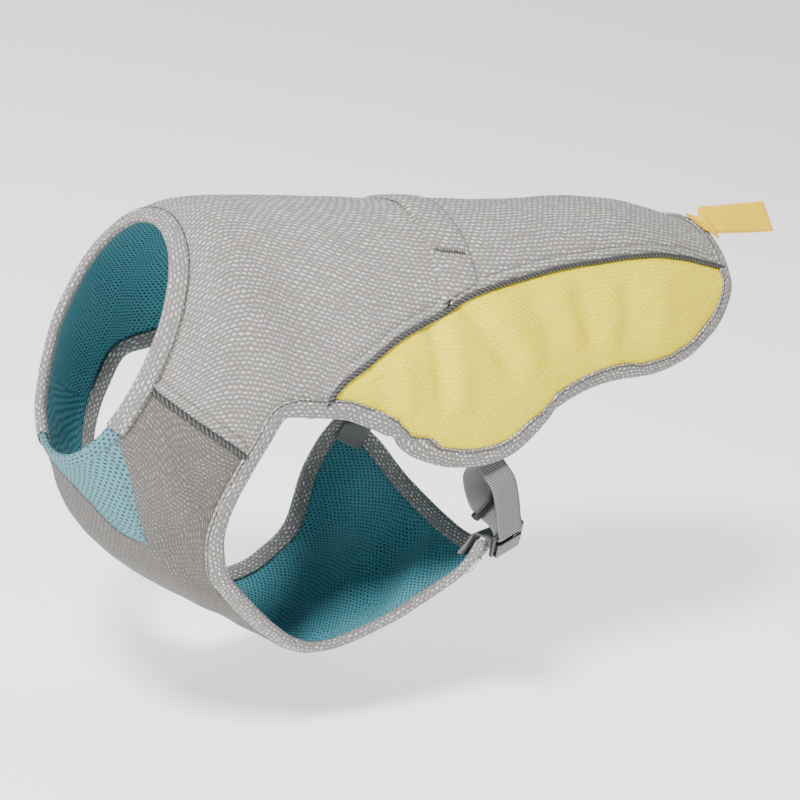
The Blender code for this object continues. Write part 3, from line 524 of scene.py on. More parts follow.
greyCloth = clothMaterial("greyAirMesh", greyMesh)
chestCloth = clothMaterial("chestAirMesh", chestMesh)
yellowCloth = clothMaterial("yellowAirMesh", yellowMesh)
tealCloth = clothMaterial("tealHoledMesh", tealMesh)
goreCloth = clothMaterial("goreHoledMesh", goreMesh)
bindingCloth = clothMaterial("bindingMesh", bindingMesh)


def ribbedMaterial(name, finish):
    # ribs across a strap or round a cord: slant turns them
    material, nodes, links, shader = newMaterial(name, finish["roughness"])
    weave = nodes.new("ShaderNodeUVMap")
    weave.uv_map = "weave"
    turn = nodes.new("ShaderNodeMapping")
    turn.inputs["Rotation"].default_value = (0, 0, math.radians(finish["slant"]))
    links.new(weave.outputs[0], turn.inputs["Vector"])
    ribs = nodes.new("ShaderNodeTexWave")
    ribs.bands_direction = "X"
    waveScale = 314 / finish["pitch"]    # the wave texture's scale for a pitch in mm
    setInputs(ribs, {"Scale": waveScale, "Distortion": finish.get("uneven", 0.6), "Detail": 1.5})
    links.new(turn.outputs[0], ribs.inputs["Vector"])
    tone = rescale(nodes, links, ribs.outputs["Fac"], *finish["cut"], smooth=True)
    links.new(mixColours(nodes, links, tone, finish["shade"], finish["ground"]), shader.inputs["Base Color"])
    addBump(nodes, links, shader, ribs.outputs["Fac"], 0.6, 0.0003)
    return material


webbingCloth = ribbedMaterial("ribbedWebbing", {"roughness": 0.7, "slant": 0, "pitch": 1.6, "cut": (0.2, 0.8),
                                                "ground": (0.22, 0.216, 0.21), "shade": (0.085, 0.083, 0.08)})
pipingCord = ribbedMaterial("twistedCord", {"roughness": 0.6, "slant": 40, "pitch": 2.6, "cut": (0.78, 0.98),
                                            "uneven": 0.2,
                                            "ground": (0.15, 0.145, 0.14), "shade": (0.022, 0.021, 0.02)})
tabRibbon = ribbedMaterial("yellowRibbon", {"roughness": 0.6, "slant": 0, "pitch": 0.9, "cut": (0.0, 1.0),
                                            "ground": (0.98, 0.66, 0.0), "shade": (0.92, 0.56, 0.0)})


def plasticMaterial():
    material, nodes, links, shader = newMaterial("blackPlastic", 0.42)
    place = nodes.new("ShaderNodeTexCoord")
    grain = noiseOver(nodes, links, place.outputs["Object"], 1400)
    links.new(mixColours(nodes, links, grain.outputs["Fac"], (0.008, 0.008, 0.009), (0.022, 0.022, 0.023)),
              shader.inputs["Base Color"])
    addBump(nodes, links, shader, grain.outputs["Fac"], 0.15, 0.0001)
    return material


def threadMaterial(name, colour):
    material, nodes, links, shader = newMaterial(name, 0.75)
    place = nodes.new("ShaderNodeTexCoord")
    ply = noiseOver(nodes, links, place.outputs["Object"], 900)
    dark = tuple(c * 0.6 for c in colour)
    links.new(mixColours(nodes, links, ply.outputs["Fac"], dark, colour), shader.inputs["Base Color"])
    return material


blackPlastic = plasticMaterial()
darkThread = threadMaterial("darkThread", (0.05, 0.048, 0.045))
greyThread = threadMaterial("greyThread", (0.20, 0.19, 0.18))
print("finishes made")


panelGrid = {"step": 2.6, "liningStep": 4.0}


def layUpper(name, firstAt, lastAt, leftEdge, rightEdge, material, height, wall, extra=None, replaced=(), slotName=None,
             step=None):
    step = step or panelGrid["step"]
    middle = (firstAt + lastAt) / 2
    length = np.linalg.norm(np.diff(onForm(np.linspace(firstAt, lastAt, 30), 0), axis=0), axis=1).sum()
    widest = max(np.linalg.norm(np.diff(onForm(s, np.linspace(leftEdge(s), rightEdge(s), 40)), axis=0), axis=1).sum()
                 for s in (firstAt, middle, lastAt, (firstAt + middle) / 2, (middle + lastAt) / 2))
    rows, columns = max(int(length / step), 2), max(int(widest / step), 4)
    station = np.repeat(np.linspace(firstAt, lastAt, rows + 1)[:, None], columns + 1, 1)
    share = np.linspace(0, 1, columns + 1)[None]
    left, right = leftEdge(station[:, :1]), rightEdge(station[:, :1])
    station, angle = evenColumns(station, left + (right - left) * share)
    weave = weaveOver(onForm(station, angle))
    tall = np.full(station.shape, float(height))
    if extra is not None:
        tall = tall + extra(station, angle, weave)
    mesh = bmesh.new()
    addPanel(mesh, station, angle, tall, weave, height > 0)
    piece = finishPiece(name, mesh, material, wall, replaced)
    print(name, rows, "x", columns)


def seamDistance(weave):
    # distance in from the left and right borders of a row
    across = weave[..., 1]
    return across - across[:, :1], across[:, -1:] - across


def seamRoll(station, angle, weave):
    # the back is turned under beside the piping and stitched flat again
    lift = np.zeros(station.shape)
    fade = np.clip((station - 2.2) / 0.3, 0, 1)
    shoulderFade = np.clip((1.5 - station) / 0.1, 0, 1)
    for d in seamDistance(weave):
        ridge, groove = 1.5 * np.exp(-((d - 4.8) / 2.6) ** 2), np.exp(-((d - 9.2) / 1.3) ** 2)
        lift += np.maximum(fade, shoulderFade) * (ridge - groove)
    return lift


def frontExtra(station, angle, weave):
    # dips under the lapped band at its rear
    return seamRoll(station, angle, weave) - 0.4 * np.exp(-((seams["cross"] - station) / 0.035) ** 2)


def rearExtra(station, angle, weave):
    tuck = -0.7 * np.exp(-((station - seams["bandEnd"] - 0.02) / 0.02) ** 2)
    return seamRoll(station, angle, weave) + tuck


def flankExtra(station, angle, weave):
    # full between the seam and the binding, flat under them
    fromSeam, fromHem = seamDistance(weave)
    d = np.minimum(fromSeam, np.maximum(fromHem - 11, 0))
    return 2.4 * (1 - np.exp(-(d / 13) ** 1.5)) - 0.4 * np.exp(-(fromSeam / 3) ** 2)


def crownOver(share):
    # how the band swells over the back: steep in front, gentle behind
    return np.clip(np.minimum(share / 0.08, (1 - share) / 0.35), 0, 1) ** 0.6


def bandExtra(station, angle, weave):
    share = (station - station.min()) / (station.max() - station.min())
    crown = 2.3 * crownOver(share)
    spine = 1.4 * np.exp(-(angle / 9) ** 2) * np.exp(-((share - 0.35) / 0.4) ** 2)
    pull = -0.9 * np.exp(-((np.abs(angle) - 28) / 3) ** 2)
    return crown + spine + pull * np.clip(np.minimum(share, 1 - share) * 6, 0, 1)


def laySides(name, firstAt, lastAt, edge, *rest, **more):
    layUpper(name, firstAt, lastAt, lambda s: -edge(s), edge, *rest, **more)


laySides("backFrontCloth", 0.015, seams["cross"] + 0.03, backEdge, greyCloth, form["shell"], form["shellWall"],
         frontExtra, ("back_front_panel",), "grey_mesh")
laySides("backRearCloth", seams["cross"] + 0.05, 6.985, backEdge, greyCloth, form["shell"], form["shellWall"],
         rearExtra, ("back_rear_panel",), "grey_mesh")
laySides("leashBand", seams["cross"] - 0.03, seams["bandEnd"] + 0.02, lambda s: backEdge(s) - 3.0, greyCloth,
         form["shell"] + 0.1, 1.0, bandExtra, ("leash_band",), "grey_mesh", step=1.6)
for side, word in ((1, "left"), (-1, "right")):
    layUpper("flankCloth" + word.capitalize(), 2.2, 6.99, lambda s, k=side: k * backEdge(s),
             lambda s, k=side: k * readSeam(seams["hem"], s), yellowCloth, form["shell"], form["shellWall"],
             flankExtra, ("flank_panel_" + word,), "yellow_mesh", step=2.2)


def liningEdge(station):
    rows = seams["shoulder"] + seams["armholeTop"][1:] + seams["hem"][1:]
    return readSeam(rows, station)


laySides("backLining", 0.015, 6.985, liningEdge, tealCloth, form["lining"], form["liningWall"], None,
         ("back_lining",), "teal_mesh", step=panelGrid["liningStep"])


def chestLines(side):
    # where each row of the chest and belly starts, at the gore or the centre, and ends, at the edge
    def turned(station, angle):
        return (station, angle) if side > 0 else (station, 360 - angle)

    start = list((gore["left"] if side > 0 else gore["right"])) + [gore["below"]]
    inner = [turned(*place) for place in seams["inner"]]
    shoulder = [turned(s, float(readSeam(seams["shoulder"], s))) for s in seams["shoulderAt"]]
    edge = list(inner)
    bow = [1.0] * len(inner)
    for row in belly["rows"]:
        start.append((row[0], row[1]))
        edge.append((row[2], row[3]) if side > 0 else (row[2], 360 - row[4]))
        bow.append(row[5])
    number = np.arange(len(start))
    return (np.column_stack((number, start)), np.column_stack((number, edge)), np.column_stack((number, bow)),
            np.column_stack((np.arange(len(shoulder)), shoulder)))


def layChest(name, material, height, wall, replaced, perRow, columns):
    mesh = bmesh.new()
    lastUpper = len(seams["inner"]) - 1
    for side in (1, -1):
        start, edge, bow, shoulder = chestLines(side)
        steps = np.linspace(0, len(start) - 1, (len(start) - 1) * perRow + 1)
        s0, s1 = smoothTable(start, steps), smoothTable(edge, steps)
        f = np.linspace(0, 1, columns * 3 + 1)[None] ** 2     # close together by the flat bottom
        late = smoothTable(bow, steps)
        station = s0[:, :1] + (s1[:, :1] - s0[:, :1]) * f ** late
        angle = s0[:, 1:] + (s1[:, 1:] - s0[:, 1:]) * f
        station, angle = evenColumns(station, angle)
        station, angle = station[:, ::3].copy(), angle[:, ::3].copy()
        base = onForm(station, angle)
        other = onForm(*smoothTable(chestLines(-side)[0], steps).T)
        halfGore = np.linalg.norm(base[:, 0] - other, axis=1) / 2
        weave = weaveOver(base, lastUpper * perRow, 0, halfGore)
        weave[..., 1] *= side
        addPanel(mesh, station, angle, height, weave, height > 0)

        # from there out to the shoulder seam, on the upper rows only
        rows = np.nonzero(steps <= lastUpper)[0]
        outer = smoothTable(shoulder, steps[rows])
        g = np.linspace(0, 1, columns // 3 + 1)[None]
        outerStation = s1[rows, :1] + (outer[:, :1] - s1[rows, :1]) * g
        outerAngle = s1[rows, 1:] + (outer[:, 1:] - s1[rows, 1:]) * g
        # the front of the armhole hollows the last rows
        hollow = np.clip(steps[rows] - lastUpper + 1, 0, 1)[:, None] ** 2 * np.sin(np.pi * g)
        outerStation = outerStation - 0.045 * hollow
        outerStation, outerAngle = evenColumns(outerStation, outerAngle)
        base = onForm(outerStation, outerAngle)
        outerWeave = weaveOver(base, lastUpper * perRow, 0, (weave[rows, -1, 1] * side))
        outerWeave[..., 0] += weave[rows, -1:, 0] - outerWeave[:, :1, 0]
        outerWeave[..., 1] *= side
        addPanel(mesh, outerStation, outerAngle, height, outerWeave, height > 0)
    piece = finishPiece(name, mesh, material, wall, replaced, join=0.3)
    print(name, "laid")


layChest("chestCloth", chestCloth, form["shell"], form["shellWall"], ("chest_panel",), 9, 64)
layChest("chestLining", tealCloth, form["lining"], form["liningWall"], ("chest_lining",), 7, 48)


def goreSides(count):
    number = np.arange(len(gore["left"]))
    rows = np.linspace(0, number[-1], count)
    return [smoothTable(np.column_stack((number, gore[side])), rows) for side in ("left", "right")]


def layGore():
    left, right = goreSides(60)
    share = np.linspace(-0.04, 1.04, 41)[None]
    station = left[:, :1] + (right[:, :1] - left[:, :1]) * share
    angle = left[:, 1:] + (right[:, 1:] - left[:, 1:]) * share
    weave = weaveOver(onForm(station, angle))
    inward = np.minimum(share, 1 - share)
    extra = -0.5 + 0.9 * np.clip(inward / 0.1, 0, 1) - 0.45 * np.exp(-((share - 0.12) / 0.012) ** 2)
    mesh = bmesh.new()
    addPanel(mesh, station, angle, form["shell"] + extra, weave)
    piece = finishPiece("neckGore", mesh, goreCloth, 0.9, ("neck_gore",))


layGore()

binding = {
    "wall": 0.9,
    "step": 2.4,
    "columns": ("in from the edge", "height"),
    "fold": ((11.6, 2.0), (11.2, 2.9), (9.6, 3.5), (7.2, 3.8), (4.8, 3.8), (2.4, 3.6), (0.6, 3.1), (-0.8, 2.1),
             (-1.5, 0.7), (-1.5, -0.6), (-0.9, -2.0), (0.6, -2.9), (3.0, -3.3), (6.0, -3.4), (9.0, -3.2),
             (11.2, -2.8), (11.6, -2.0)),
}


def edgePlaces(places, step):
    places = np.array(places, float)
    knots = knotsFor(onForm(*places.T), 0.5)
    dense = smoothTable(np.column_stack((knots, places)), np.linspace(0, knots[-1], 60 * len(places)))
    run = lengthsAlong(onForm(*dense.T))
    even = np.linspace(0, run[-1], int(run[-1] / step) + 1)
    return np.interp(even, run, dense[:, 0]), np.interp(even, run, dense[:, 1]), even


def smoothRows(values, width):
    kernel = np.hanning(2 * width + 3)[1:-1]
    kernel /= kernel.sum()
    padded = np.concatenate((np.repeat(values[:1], width, 0), values, np.repeat(values[-1:], width, 0)))
    return np.column_stack([np.convolve(padded[:, k], kernel, mode="valid") for k in range(values.shape[1])])


def intoCloth(station, angle, sign, width=4):
    points = onForm(station, angle)
    out = outward(station, angle)
    run = unitRows(np.gradient(points, axis=0))
    towards = smoothRows(unitRows(np.cross(run, out)) * sign, width)
    return unitRows(towards - out * (towards * out).sum(-1, keepdims=True))


def layBinding(name, places, sign, material, replaced, fold=None, closed=False):
    station, angle, run = edgePlaces(places, binding["step"])
    towards = intoCloth(station, angle, sign)
    relief = creaseRelief(onForm(station, angle))
    fold = fold or binding["fold"]
    profile = throughPoints(fold, 1.6)
    spots = np.zeros((len(station), len(profile), 3))
    for k, (inwards, height) in enumerate(profile):
        s, a = moveInSteps(station, angle, towards, inwards, 2)
        base = onForm(s, a)
        spots[:, k] = base + outward(s, a) * (height + relief)[:, None]
    if closed:
        spots[-1] = spots[0] = (spots[0] + spots[-1]) / 2
    across = lengthsAlong(profile)
    weave = stripWeave(run, across)
    centre = onForm(station, angle) + towards * 4
    mesh = bmesh.new()
    addGrid(mesh, spots, weave, unitRows(spots - centre[:, None]))
    piece = finishPiece(name, mesh, material, binding["wall"], replaced)
    print(name, round(run[-1]), "mm")


def bellyRear(side, shares):
    # places on the belly's rear edge, by the share of the way from the centre to the corner
    centreAt, centreAngle, edgeAt, left, right, bow = belly["rows"][-1]
    corner = left if side > 0 else right
    return [(centreAt + (edgeAt - centreAt) * f ** bow, centreAngle + (corner - centreAngle) * f) for f in shares]


def bodyEdge():
    # from the middle of the tail down the left hem, round the leg hole and the belly flap, and back up the right
    def half(side):
        places = [(7, a) for a in (0, 12, 24, 36)] + list(seams["hem"][::-1]) + list(seams["armholeTop"][-2::-1])
        places += [seams["armholeFront"], seams["inner"][-1]]
        places += [(row[2], row[3] if side > 0 else row[4]) for row in belly["rows"]]
        return places + bellyRear(side, (0.88, 0.72, 0.54, 0.34, 0.14))

    left, right = half(1), half(-1)
    return left + [(belly["rows"][-1][0], 180)] + [(s, 360 - a) for s, a in right[::-1]]


layBinding("bodyBinding", bodyEdge(), 1, bindingCloth,
                         ("hem_binding_left", "hem_binding_right", "belly_binding"), closed=True)
layBinding("neckBinding", [(0, a) for a in np.linspace(-154, 132, 24)], -1, bindingCloth, ("neck_binding",))
layBinding("goreFold", [(0.012, a) for a in np.linspace(131, 207, 9)], -1, goreCloth, (),
                      fold=((9, 1.9), (6, 2.2), (3, 2.3), (0.8, 2.1), (-0.5, 1.1), (-0.8, 0.1), (-0.5, -0.9), (1, -1.9),
                            (4, -2.2), (8, -2.1), (10, -1.8)))
print("bindings folded")

cord = {"radius": 1.9, "height": 2.2, "step": 0.9, "around": 14, "twist": 5.2, "strands": 2,
        "runs": {"shoulder": (0.2, 1.42), "flank": (2.22, 6.93)}}


def layCord(name, places, replaced):
    # a twisted cord that lies in a seam
    station, angle, run = edgePlaces(places, cord["step"])
    up = outward(station, angle)
    middle = clothPoint(station, angle, cord["height"])
    along = unitRows(np.gradient(middle, axis=0))
    across = unitRows(np.cross(up, along))
    turn = np.linspace(0, 2 * np.pi, cord["around"] + 1)
    twist = turn[None] - run[:, None] * 2 * np.pi / (cord["twist"] * cord["strands"])
    radius = cord["radius"] * (0.93 + 0.09 * np.abs(np.cos(twist * cord["strands"] / 2)))
    spots = (middle[:, None] + across[:, None] * (radius * np.cos(turn))[..., None]
             + up[:, None] * (radius * np.sin(turn))[..., None])
    weave = stripWeave(run, turn * cord["radius"])
    mesh = bmesh.new()
    addGrid(mesh, spots, weave, spots - middle[:, None])
    return finishPiece(name, mesh, pipingCord, None, replaced)


for side, word in ((1, "left"), (-1, "right")):
    for kind, rows in (("shoulder", seams["shoulder"]), ("flank", seams["flank"])):
        first, last = cord["runs"][kind]
        at = np.linspace(first, last, 40)
        places = np.column_stack((at, side * readSeam(rows, at)))
        layCord(kind + "Cord" + word.capitalize(), places, (kind + "_piping_" + word,))
print("pipings laid")

strap = {
    "width": 20, "thick": 1.3, "wrap": 2.85, "columns": ("across the body", "down", "outward"),
    "outer": ((7.2, 4, -5.6), (9.5, 9.5, -0.5), (12, 17, 7), (13.2, 31, 11.6), (13.6, 43, 14)),
    "back": ((13.4, 46.4, 5), (8.3, 40.5, -1), (3.5, 33.5, -4.8), (0.5, 22, -8.2), (-0.5, 10, -9.6), (1.5, 3, -8)),
    "sewn": ((4.07, 3, -5.2), (4.07, 11, -5.3), (4.02, 3, -7), (4.02, 11, -7.1)),
    "across": (0.975, -0.20, 0), "slider": (5.9, 37, -2.9), "buckle": (14, 51, 12.9), "run": (0.19, 0.92, -0.34),
    "corner": ((17.5, 65, 0.8), (13.5, 63, -4), (9.5, 62.5, -9.9)),
    "cornerSewn": ((1.5, -7.8), (9, -7.3), (16, -7.3)),
}
# moulded frames: where their bars and windows meet across and along, and which cells are windows
buckle = {"across": (-13.5, -10.6, 10.6, 13.5), "run": (-1.8, 1.8, 7.6, 11, 21, 24.2), "thick": 3.2, "round": 1.0,
          "windows": ((1, 1), (1, 3))}
slider = {"across": (-12.8, -10.6, 10.6, 12.8), "run": (-2.9, -1.3, 1.3, 2.9), "thick": 5.0, "round": 0.6,
          "windows": ((1, 1),)}


def unit(v):
    return np.asarray(v, float) / np.linalg.norm(v)


def layRibbon(name, path, directions, finish, material, replaced, step=1.8):
    # a flat strip along a path, turned by the direction of its width, with its borders bent a little
    width, thick = finish["width"], finish["thick"]
    path = np.array(path, float)
    knots = knotsFor(path)
    table = np.column_stack((knots, path, np.array(directions, float)))
    dense = smoothTable(table, np.linspace(0, knots[-1], 60 * len(path)))
    run = lengthsAlong(dense[:, :3])
    even = np.linspace(0, run[-1], int(run[-1] / step) + 1)
    rows = readLine(even, run, dense)
    middle, across = rows[:, :3], unitRows(rows[:, 3:])
    out = unitRows(np.cross(np.gradient(middle, axis=0), across))
    share = np.linspace(-1, 1, 11)
    border = -0.18 * np.clip((np.abs(share) - 0.8) / 0.2, 0, 1)
    sideways = share * width / 2
    spots = middle[:, None] + across[:, None] * sideways[None, :, None] + out[:, None] * border[None, :, None]
    weave = stripWeave(even, sideways)
    mesh = bmesh.new()
    addGrid(mesh, spots, weave)
    piece = finishPiece(name, mesh, material, thick, replaced, offset=0)


def framePlate(name, centre, wide, along, plate, replaced):
    mesh = bmesh.new()
    columns, rows = len(plate["across"]) - 1, len(plate["run"]) - 1
    made = bmesh.ops.create_grid(mesh, x_segments=columns, y_segments=rows, size=0.5)["verts"]
    centres = [(face, face.calc_center_median()) for face in mesh.faces]
    windows = [face for face, at in centres
               if (int((at.x + 0.5) * columns), int((at.y + 0.5) * rows)) in plate["windows"]]
    for v in made:
        i, j = round((v.co.x + 0.5) * columns), round((v.co.y + 0.5) * rows)
        v.co = Vector(centre + wide * plate["across"][i] + along * plate["run"][j]) * mm
    bmesh.ops.delete(mesh, geom=windows, context="FACES_ONLY")
    piece = newPiece(name, mesh, blackPlastic, (replaced,))
    thicken = piece.modifiers.new("thickness", "SOLIDIFY")
    thicken.thickness, thicken.offset = plate["thick"] * mm, 0
    soften = piece.modifiers.new("rounded", "BEVEL")
    soften.width, soften.segments = plate["round"] * mm, 4
    soften.limit_method, soften.angle_limit = "ANGLE", math.radians(50)


def roundBar(centre, run, out, reach, height, degrees):
    # webbing bent round a bar, seen along the bar
    turns = [math.radians(k) for k in degrees]
    return [centre + run * reach * math.sin(t) + out * height * math.cos(t) for t in turns]


def sewnEnd(station, angle, towards, distance, depth):
    s, a = moveInSteps(station, angle, towards, distance, 4)
    return onForm(s, a) + outward(s, a) * depth


def sideSet(side, word):
    cornerPlace = (4.14, 116.5) if side > 0 else (4.14, -120.5)
    hem, corner = onForm(4.0, side * 91.6), onForm(*cornerPlace)
    down = unit(corner - hem)
    away = np.array((0, -side, 0.0))
    away = unit(away - down * (down @ away))
    tailward = np.cross(away, down) * side
    stretch = np.linalg.norm(corner - hem) / 62

    def turned(u, v, w):
        return tailward * u + down * v + away * w

    def at(u, v, w):
        return hem + turned(u, v * stretch, w)

    across = turned(*strap["across"])
    bar, run = at(*strap["buckle"]), unit(turned(*strap["run"]))
    out = unit(np.cross(run, across)) * side
    wrap = strap["wrap"]
    bent = roundBar(bar, run, out, wrap * 1.05, wrap + 0.6, (-25, 15, 55, 90, 125, 165, 185))
    sewn = [sewnEnd(s, side * float(readSeam(seams["hem"], s)), -down, distance, depth)
            for s, distance, depth in strap["sewn"]]
    path = sewn[1::-1] + [at(*p) for p in strap["outer"]] + bent + [at(*p) for p in strap["back"]] + sewn[2:]
    layRibbon("bellyStrap" + word.capitalize(), path, [across] * len(path), strap, webbingCloth,
              ("belly_strap_" + word,))
    framePlate("buckle" + word.capitalize(), bar, across, run, buckle, "buckle_" + word)

    along = unit(at(*strap["back"][1]) - at(*strap["back"][2]))
    wide = unit(across - along * (along @ across))
    thick = np.cross(along, wide)
    framePlate("slider" + word.capitalize(), at(*strap["slider"]), wide, thick, slider, "slider_" + word)

    lower = bar + run * (buckle["run"][4] + buckle["run"][5]) / 2
    bend = roundBar(lower, run, out, wrap + 0.2, wrap + 0.7, (-30, 15, 55, 90, 125, 165))
    start = [lower - run * 15.5 + out * (wrap + 0.7), lower - run * 8 + out * (wrap + 0.6)]
    one, two = [(s, side * a) for s, a in bellyRear(side, (1.0, 0.8))]
    middle = ((one[0] + two[0]) / 2, (one[1] + two[1]) / 2)
    edge = unit(onForm(*two) - onForm(*one))
    into = np.cross(edge, outward(*middle)) * side
    ends = [sewnEnd(*middle, into, distance, depth) for distance, depth in strap["cornerSewn"]]
    half = unit(across + edge)
    directions = [across] * (len(start) + len(bend) + 1) + [half] * 2 + [edge] * 3
    path = start + bend + [at(*p) for p in strap["corner"]] + ends
    layRibbon("cornerTab" + word.capitalize(), path, directions, strap, webbingCloth,
              ("corner_tab_" + word,))


sideSet(1, "left")
sideSet(-1, "right")
print("straps, buckles and sliders placed")

tab = {"width": 24, "thick": 0.7, "inset": 9.5, "apart": 1.15, "height": 5.85,
       "columns": ("x", "y", "z", "acrossX", "acrossY", "acrossZ"),
       "rows": ((441, -12, -3.5, 0.36, -0.68, -0.64), (458, -12, -2.6, 0.30, -0.62, -0.72),
                (476, -12, -1.6, 0.24, -0.58, -0.78), (493, -12, -0.4, 0.20, -0.55, -0.81))}


def layTab():
    inset = tab["inset"] / np.linalg.norm(slopes(6.95, 0)[0])
    halfTurn = tab["width"] / 2 / np.linalg.norm(slopes(7.0, 0)[1])
    low, across = [], []
    for s in (7 - inset, 7 - inset / 2, 7):
        sides = [onForm(s, a) + outward(s, a) * tab["height"] for a in (halfTurn, -halfTurn)]
        low.append((sides[0] + sides[1]) / 2)
        across.append(unit(sides[0] - sides[1]))
    # the ribbon leans to the left as it comes over the hem
    lean = unit(tab["rows"][0][3:])
    across = [unit(a * (1 - f) + lean * f) for a, f in zip(across, (0, 0.1, 0.4))]
    low = [p + np.array((0, -f, -f * 0.25)) for p, f in zip(low, (1, 3, 6))] + [np.array((432, -11.5, -4.0))]
    across.append(lean)
    low += [np.array(row[:3], float) for row in tab["rows"]]
    across += [unit(row[3:]) for row in tab["rows"]]
    runs = [unit(low[min(i + 1, len(low) - 1)] - low[max(i - 1, 0)]) for i in range(len(low))]
    up = [unit(np.cross(r, w)) for r, w in zip(runs, across)]
    up = [u if u[2] > 0 else -u for u in up]
    high = [p + u * tab["apart"] for p, u in zip(low, up)]
    fold = low[-1] + up[-1] * tab["apart"] / 2 + runs[-1] * 1.2
    path, directions = low + [fold] + high[::-1], across + [across[-1]] + across[::-1]
    layRibbon("tailTab", path, directions, tab, tabRibbon, ("tail_tab",), step=1.0)


layTab()
print("tail tab folded")

stitch = {"columns": ("pitch", "length", "radius"), "binding": (3.7, 2.6, 0.34), "seam": (3.4, 2.4, 0.26),
          "gore": (3.2, 2.2, 0.26), "bindingIn": 10.3, "bindingHeight": 3.75, "seamIn": 9.0, "seamHeight": 1.65,
          "bandLines": ((3.515, 3.7), (3.822, 3.2)), "tackAngle": 28, "tackTurns": 13, "tackWidth": 2.6,
          "tackRadius": 0.32}


def addThreads(mesh, starts, ends, radius):
    for a, b in zip(starts, ends):
        span = Vector(b - a)
        turn = span.to_track_quat("Z", "X").to_matrix().to_4x4()
        bmesh.ops.create_cone(mesh, cap_ends=True, segments=5, radius1=radius * mm, radius2=radius * mm * 0.8,
                              depth=span.length * mm, matrix=Matrix.Translation(Vector((a + b) / 2) * mm) @ turn)


def stitchedLine(mesh, station, angle, height, size):
    # even stitches that follow the cloth along a line of places
    pitch, length, radius = size
    spots = clothPoint(station, angle, height)
    run = lengthsAlong(spots)
    first = np.arange(pitch / 2, run[-1] - length, pitch)
    addThreads(mesh, readLine(first, run, spots), readLine(first + length, run, spots), radius)


def sewBindings():
    mesh = bmesh.new()
    for places, sign in ((bodyEdge(), 1), ([(0, a) for a in np.linspace(-152, 130, 24)], -1)):
        station, angle, _ = edgePlaces(places, 1.2)
        towards = intoCloth(station, angle, sign, 8)
        s, a = moveInSteps(station, angle, towards, stitch["bindingIn"], 2)
        stitchedLine(mesh, s, a, stitch["bindingHeight"], stitch["binding"])
    newPiece("bindingStitches", mesh, darkThread)


def sewSeams():
    mesh = bmesh.new()
    for side in (1, -1):
        for first, last in ((0.16, 1.45), (2.5, 3.46), (3.9, 6.9)):
            at = np.linspace(first, last, 120)
            edge = backEdge(at)
            perDegree = np.linalg.norm(slopes(at, side * edge)[1], axis=-1)
            angle = side * (edge - stitch["seamIn"] / perDegree)
            stitchedLine(mesh, at, angle, stitch["seamHeight"], stitch["seam"])
    for at, height in stitch["bandLines"]:
        limit = float(backEdge(at)) - 7
        turn = np.linspace(-limit, limit, 160)
        stitchedLine(mesh, np.full(turn.shape, at), turn, height, stitch["seam"])
    left, right = goreSides(80)
    for share in (0.1, 0.93):
        line = (left + (right - left) * share)[8:-6]
        stitchedLine(mesh, line[:, 0], line[:, 1], 2.0, stitch["gore"])
    newPiece("seamStitches", mesh, greyThread)


def sewTacks():
    # dense zigzags that hold the band down
    mesh = bmesh.new()
    first, last = seams["cross"] - 0.005, seams["bandEnd"] - 0.02
    for side in (1, -1):
        at = np.linspace(first, last, stitch["tackTurns"] * 2)
        perDegree = np.linalg.norm(slopes(at, side * stitch["tackAngle"])[1], axis=-1)
        wave = np.where(np.arange(len(at)) % 2, 1, -1) * stitch["tackWidth"] / 2 / perDegree
        angle = side * stitch["tackAngle"] + wave
        share = (at - first) / (last - first)
        tall = form["shell"] + 2.45 * crownOver(share)
        spots = clothPoint(at, angle, tall)
        addThreads(mesh, spots[:-1], spots[1:], stitch["tackRadius"])
    newPiece("bandTacks", mesh, darkThread)


sewBindings()
sewSeams()
sewTacks()
print("stitches sewn")

view = {"azimuth": -39.3, "elevation": 18.96, "roll": 11.47, "distance": 1570, "lookAt": (184, 0, -141), "lens": 100}


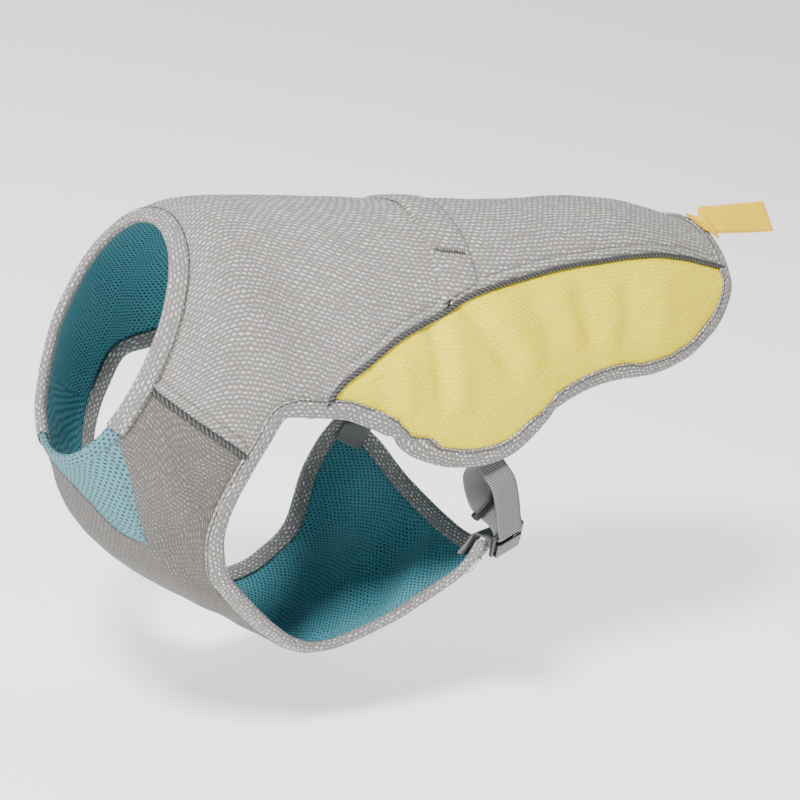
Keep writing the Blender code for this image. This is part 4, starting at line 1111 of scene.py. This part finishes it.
def placeCamera():
    azimuth, elevation, roll = (math.radians(view[k]) for k in ("azimuth", "elevation", "roll"))
    level = math.cos(elevation)
    back = Vector((math.sin(azimuth) * level, -math.cos(azimuth) * level, math.sin(elevation)))
    right = Vector((math.cos(azimuth), math.sin(azimuth), 0))
    up = back.cross(right)
    across = right * math.cos(roll) + up * math.sin(roll)
    upwards = up * math.cos(roll) - right * math.sin(roll)
    data = bpy.data.cameras.new("camera")
    data.lens, data.sensor_width = view["lens"], 36
    data.clip_start, data.clip_end = 0.05, 60
    camera = bpy.data.objects.new("camera", data)
    camera.matrix_world = Matrix((across, upwards, back)).transposed().to_4x4()
    camera.location = (Vector(view["lookAt"]) + back * view["distance"]) * mm
    bpy.context.scene.collection.objects.link(camera)
    bpy.context.scene.camera = camera


studio = {"floorHeight": -0.37, "floorSize": 30, "world": 0.2, "glow": 1.15,
          "lamps": (("keyLamp", (-1.25, -0.75, 1.65), 0.5, 118), ("fillLamp", (1.6, -1.6, 0.6), 1.8, 4),
                    ("topLamp", (0.9, 0.5, 1.8), 1.0, 18))}


def placeStudio():
    mesh = bmesh.new()
    bmesh.ops.create_grid(mesh, x_segments=2, y_segments=2, size=studio["floorSize"] / 2)
    bmesh.ops.translate(mesh, verts=mesh.verts, vec=(0, 0, studio["floorHeight"]))
    data = bpy.data.meshes.new("floor")
    mesh.to_mesh(data)
    mesh.free()
    floor = bpy.data.objects.new("floor", data)
    bpy.context.scene.collection.objects.link(floor)
    material, nodes, links, shader = newMaterial("paleFloor", 0.9)
    shader.inputs["Base Color"].default_value = (0.95, 0.95, 0.95, 1)
    shader.inputs["Specular IOR Level"].default_value = 0.1
    shader.inputs["Emission Color"].default_value = (1, 1, 1, 1)
    shader.inputs["Emission Strength"].default_value = studio["glow"]
    data.materials.append(material)
    world = bpy.data.worlds.new("paleRoom")
    world.use_nodes = True
    world.node_tree.nodes["Background"].inputs["Color"].default_value = (1, 1, 1, 1)
    world.node_tree.nodes["Background"].inputs["Strength"].default_value = studio["world"]
    bpy.context.scene.world = world
    for name, place, size, power in studio["lamps"]:
        data = bpy.data.lights.new(name, "AREA")
        data.shape, data.size, data.energy = "DISK", size, power
        lamp = bpy.data.objects.new(name, data)
        lamp.location = place
        lamp.rotation_euler = (Vector((0.2, 0, -0.15)) - Vector(place)).to_track_quat("-Z", "Y").to_euler()
        bpy.context.scene.collection.objects.link(lamp)


placeCamera()
placeStudio()
print("camera and light placed")
